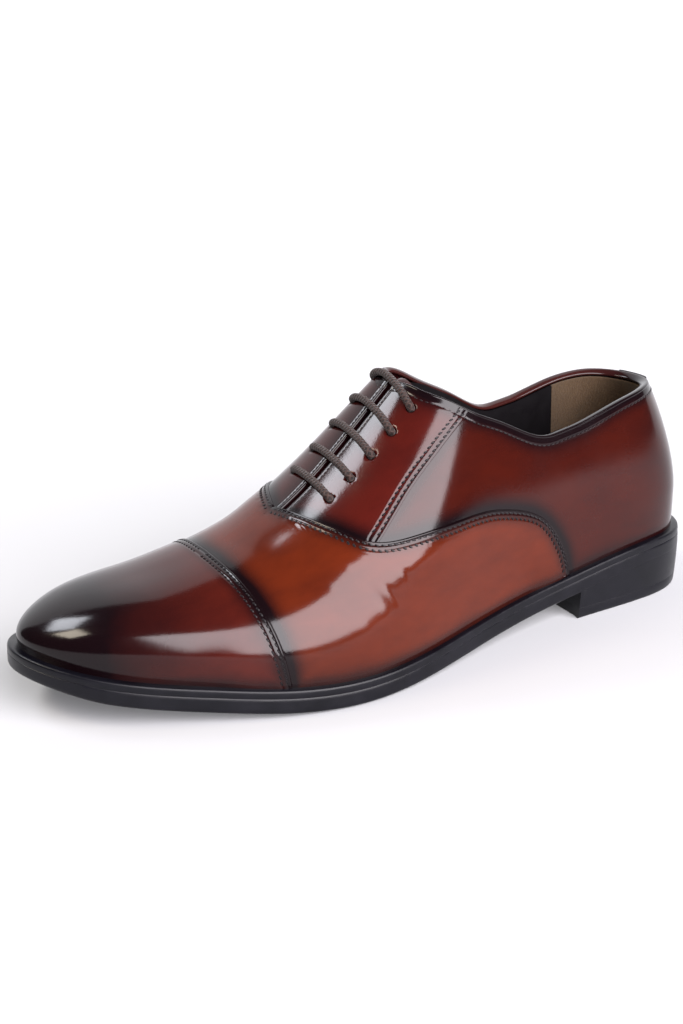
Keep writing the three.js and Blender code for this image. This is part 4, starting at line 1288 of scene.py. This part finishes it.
def floor():
    """A pale floor that curves up into a backdrop behind the shoe, seen from the camera."""
    back = np.array([-math.sin(math.radians(55.7)), math.cos(math.radians(55.7))])
    side = np.array([-back[1], back[0]])
    turn = np.linspace(0, np.pi / 2, 24)
    run = np.concatenate([[-3.0, -1.0, 0.0, 1.0], 1.8 + 1.2 * np.sin(turn), [3.0]])
    rise = np.concatenate([[0, 0, 0, 0], 1.2 * (1 - np.cos(turn)), [4.0]])
    width = np.array([-5.0, 0.0, 5.0])
    x = run[:, None] * back[0] + width[None] * side[0]
    y = run[:, None] * back[1] + width[None] * side[1]
    points = np.stack([x, y, rise[:, None] + 0 * width[None]], -1)
    mesh = bpy.data.meshes.new("floor")
    mesh.from_pydata(points.reshape(-1, 3).tolist(), [], grid_quads(*points.shape[:2]).tolist())
    mesh.polygons.foreach_set("use_smooth", np.ones(len(mesh.polygons), bool))
    mesh.materials.append(stage_material())
    obj = bpy.data.objects.new("floor", mesh)
    bpy.context.scene.collection.objects.link(obj)
    return obj


class OXFORD_OT_stage(bpy.types.Operator):
    """Floor, lamps and camera"""

    bl_idname = "oxford.stage"
    bl_label = "Stage"

    def execute(self, context):
        power = context.scene.oxford.lamp_power
        floor()
        lamp("key", (1.7, 1.35), 88 * power, (1.19, 0.10, 0.80), (0, 0, 0.35), (1.0, 0.96, 1.0))
        for name, place_m, tint in (("toe_cool", (-0.69, -0.54, 0.97), (0.9, 0.93, 1.0)),
                                    ("toe_warm", (-0.27, -0.83, 0.97), (1.0, 0.9, 0.74))):
            lamp(name, (0.42, 0.3), 6.4 * power, place_m, (0, -0.13, 0.04), tint)
        world = bpy.data.worlds.new("studio")
        world.use_nodes = True
        world.node_tree.nodes["Background"].inputs["Color"].default_value = (0.9, 0.92, 1.0, 1)
        world.node_tree.nodes["Background"].inputs["Strength"].default_value = 0.06
        context.scene.world = world
        context.scene.view_settings.view_transform = "Standard"
        data = bpy.data.cameras.new("camera")
        data.sensor_fit = "HORIZONTAL"
        data.sensor_width = 36
        data.lens = CAMERA_LENS
        data.shift_x, data.shift_y = CAMERA_SHIFT
        data.clip_end = 20
        camera = bpy.data.objects.new("camera", data)
        a, e = math.radians(CAMERA_TURN), math.radians(CAMERA_RISE)
        back = Vector((math.sin(a) * math.cos(e), -math.cos(a) * math.cos(e), math.sin(e)))
        camera.location = Vector(CAMERA_TARGET) + back * CAMERA_DISTANCE
        camera.rotation_euler = (-back).to_track_quat("-Z", "Y").to_euler()
        context.scene.collection.objects.link(camera)
        context.scene.camera = camera
        return {"FINISHED"}


class OXFORD_PT_panel(bpy.types.Panel):
    """Buttons for every part of the shoe"""

    bl_idname = "OXFORD_PT_panel"
    bl_label = "Oxford Shoe"
    bl_space_type = "VIEW_3D"
    bl_region_type = "UI"
    bl_category = "Oxford Shoe"

    def draw(self, context):
        column = self.layout.column()
        column.prop(context.scene.oxford, "lamp_power")
        for operator in OPERATORS:
            column.operator(operator.bl_idname)


OPERATORS = (OXFORD_OT_frame, OXFORD_OT_sole, OXFORD_OT_upper, OXFORD_OT_inside, OXFORD_OT_trim,
             OXFORD_OT_stitching, OXFORD_OT_stage)
CLASSES = (OxfordSettings, *OPERATORS, OXFORD_PT_panel)


def register():
    """Adds the classes and the scene's settings."""
    for cls in CLASSES:
        bpy.utils.register_class(cls)
    bpy.types.Scene.oxford = bpy.props.PointerProperty(type=OxfordSettings)


def unregister():
    """Takes them away again."""
    del bpy.types.Scene.oxford
    for cls in reversed(CLASSES):
        bpy.utils.unregister_class(cls)


def main():
    """Registers the classes and builds everything in order."""
    register()
    for operator in OPERATORS:
        group, name = operator.bl_idname.split(".")
        getattr(getattr(bpy.ops, group), name)()


if __name__ == "__main__":
    main()
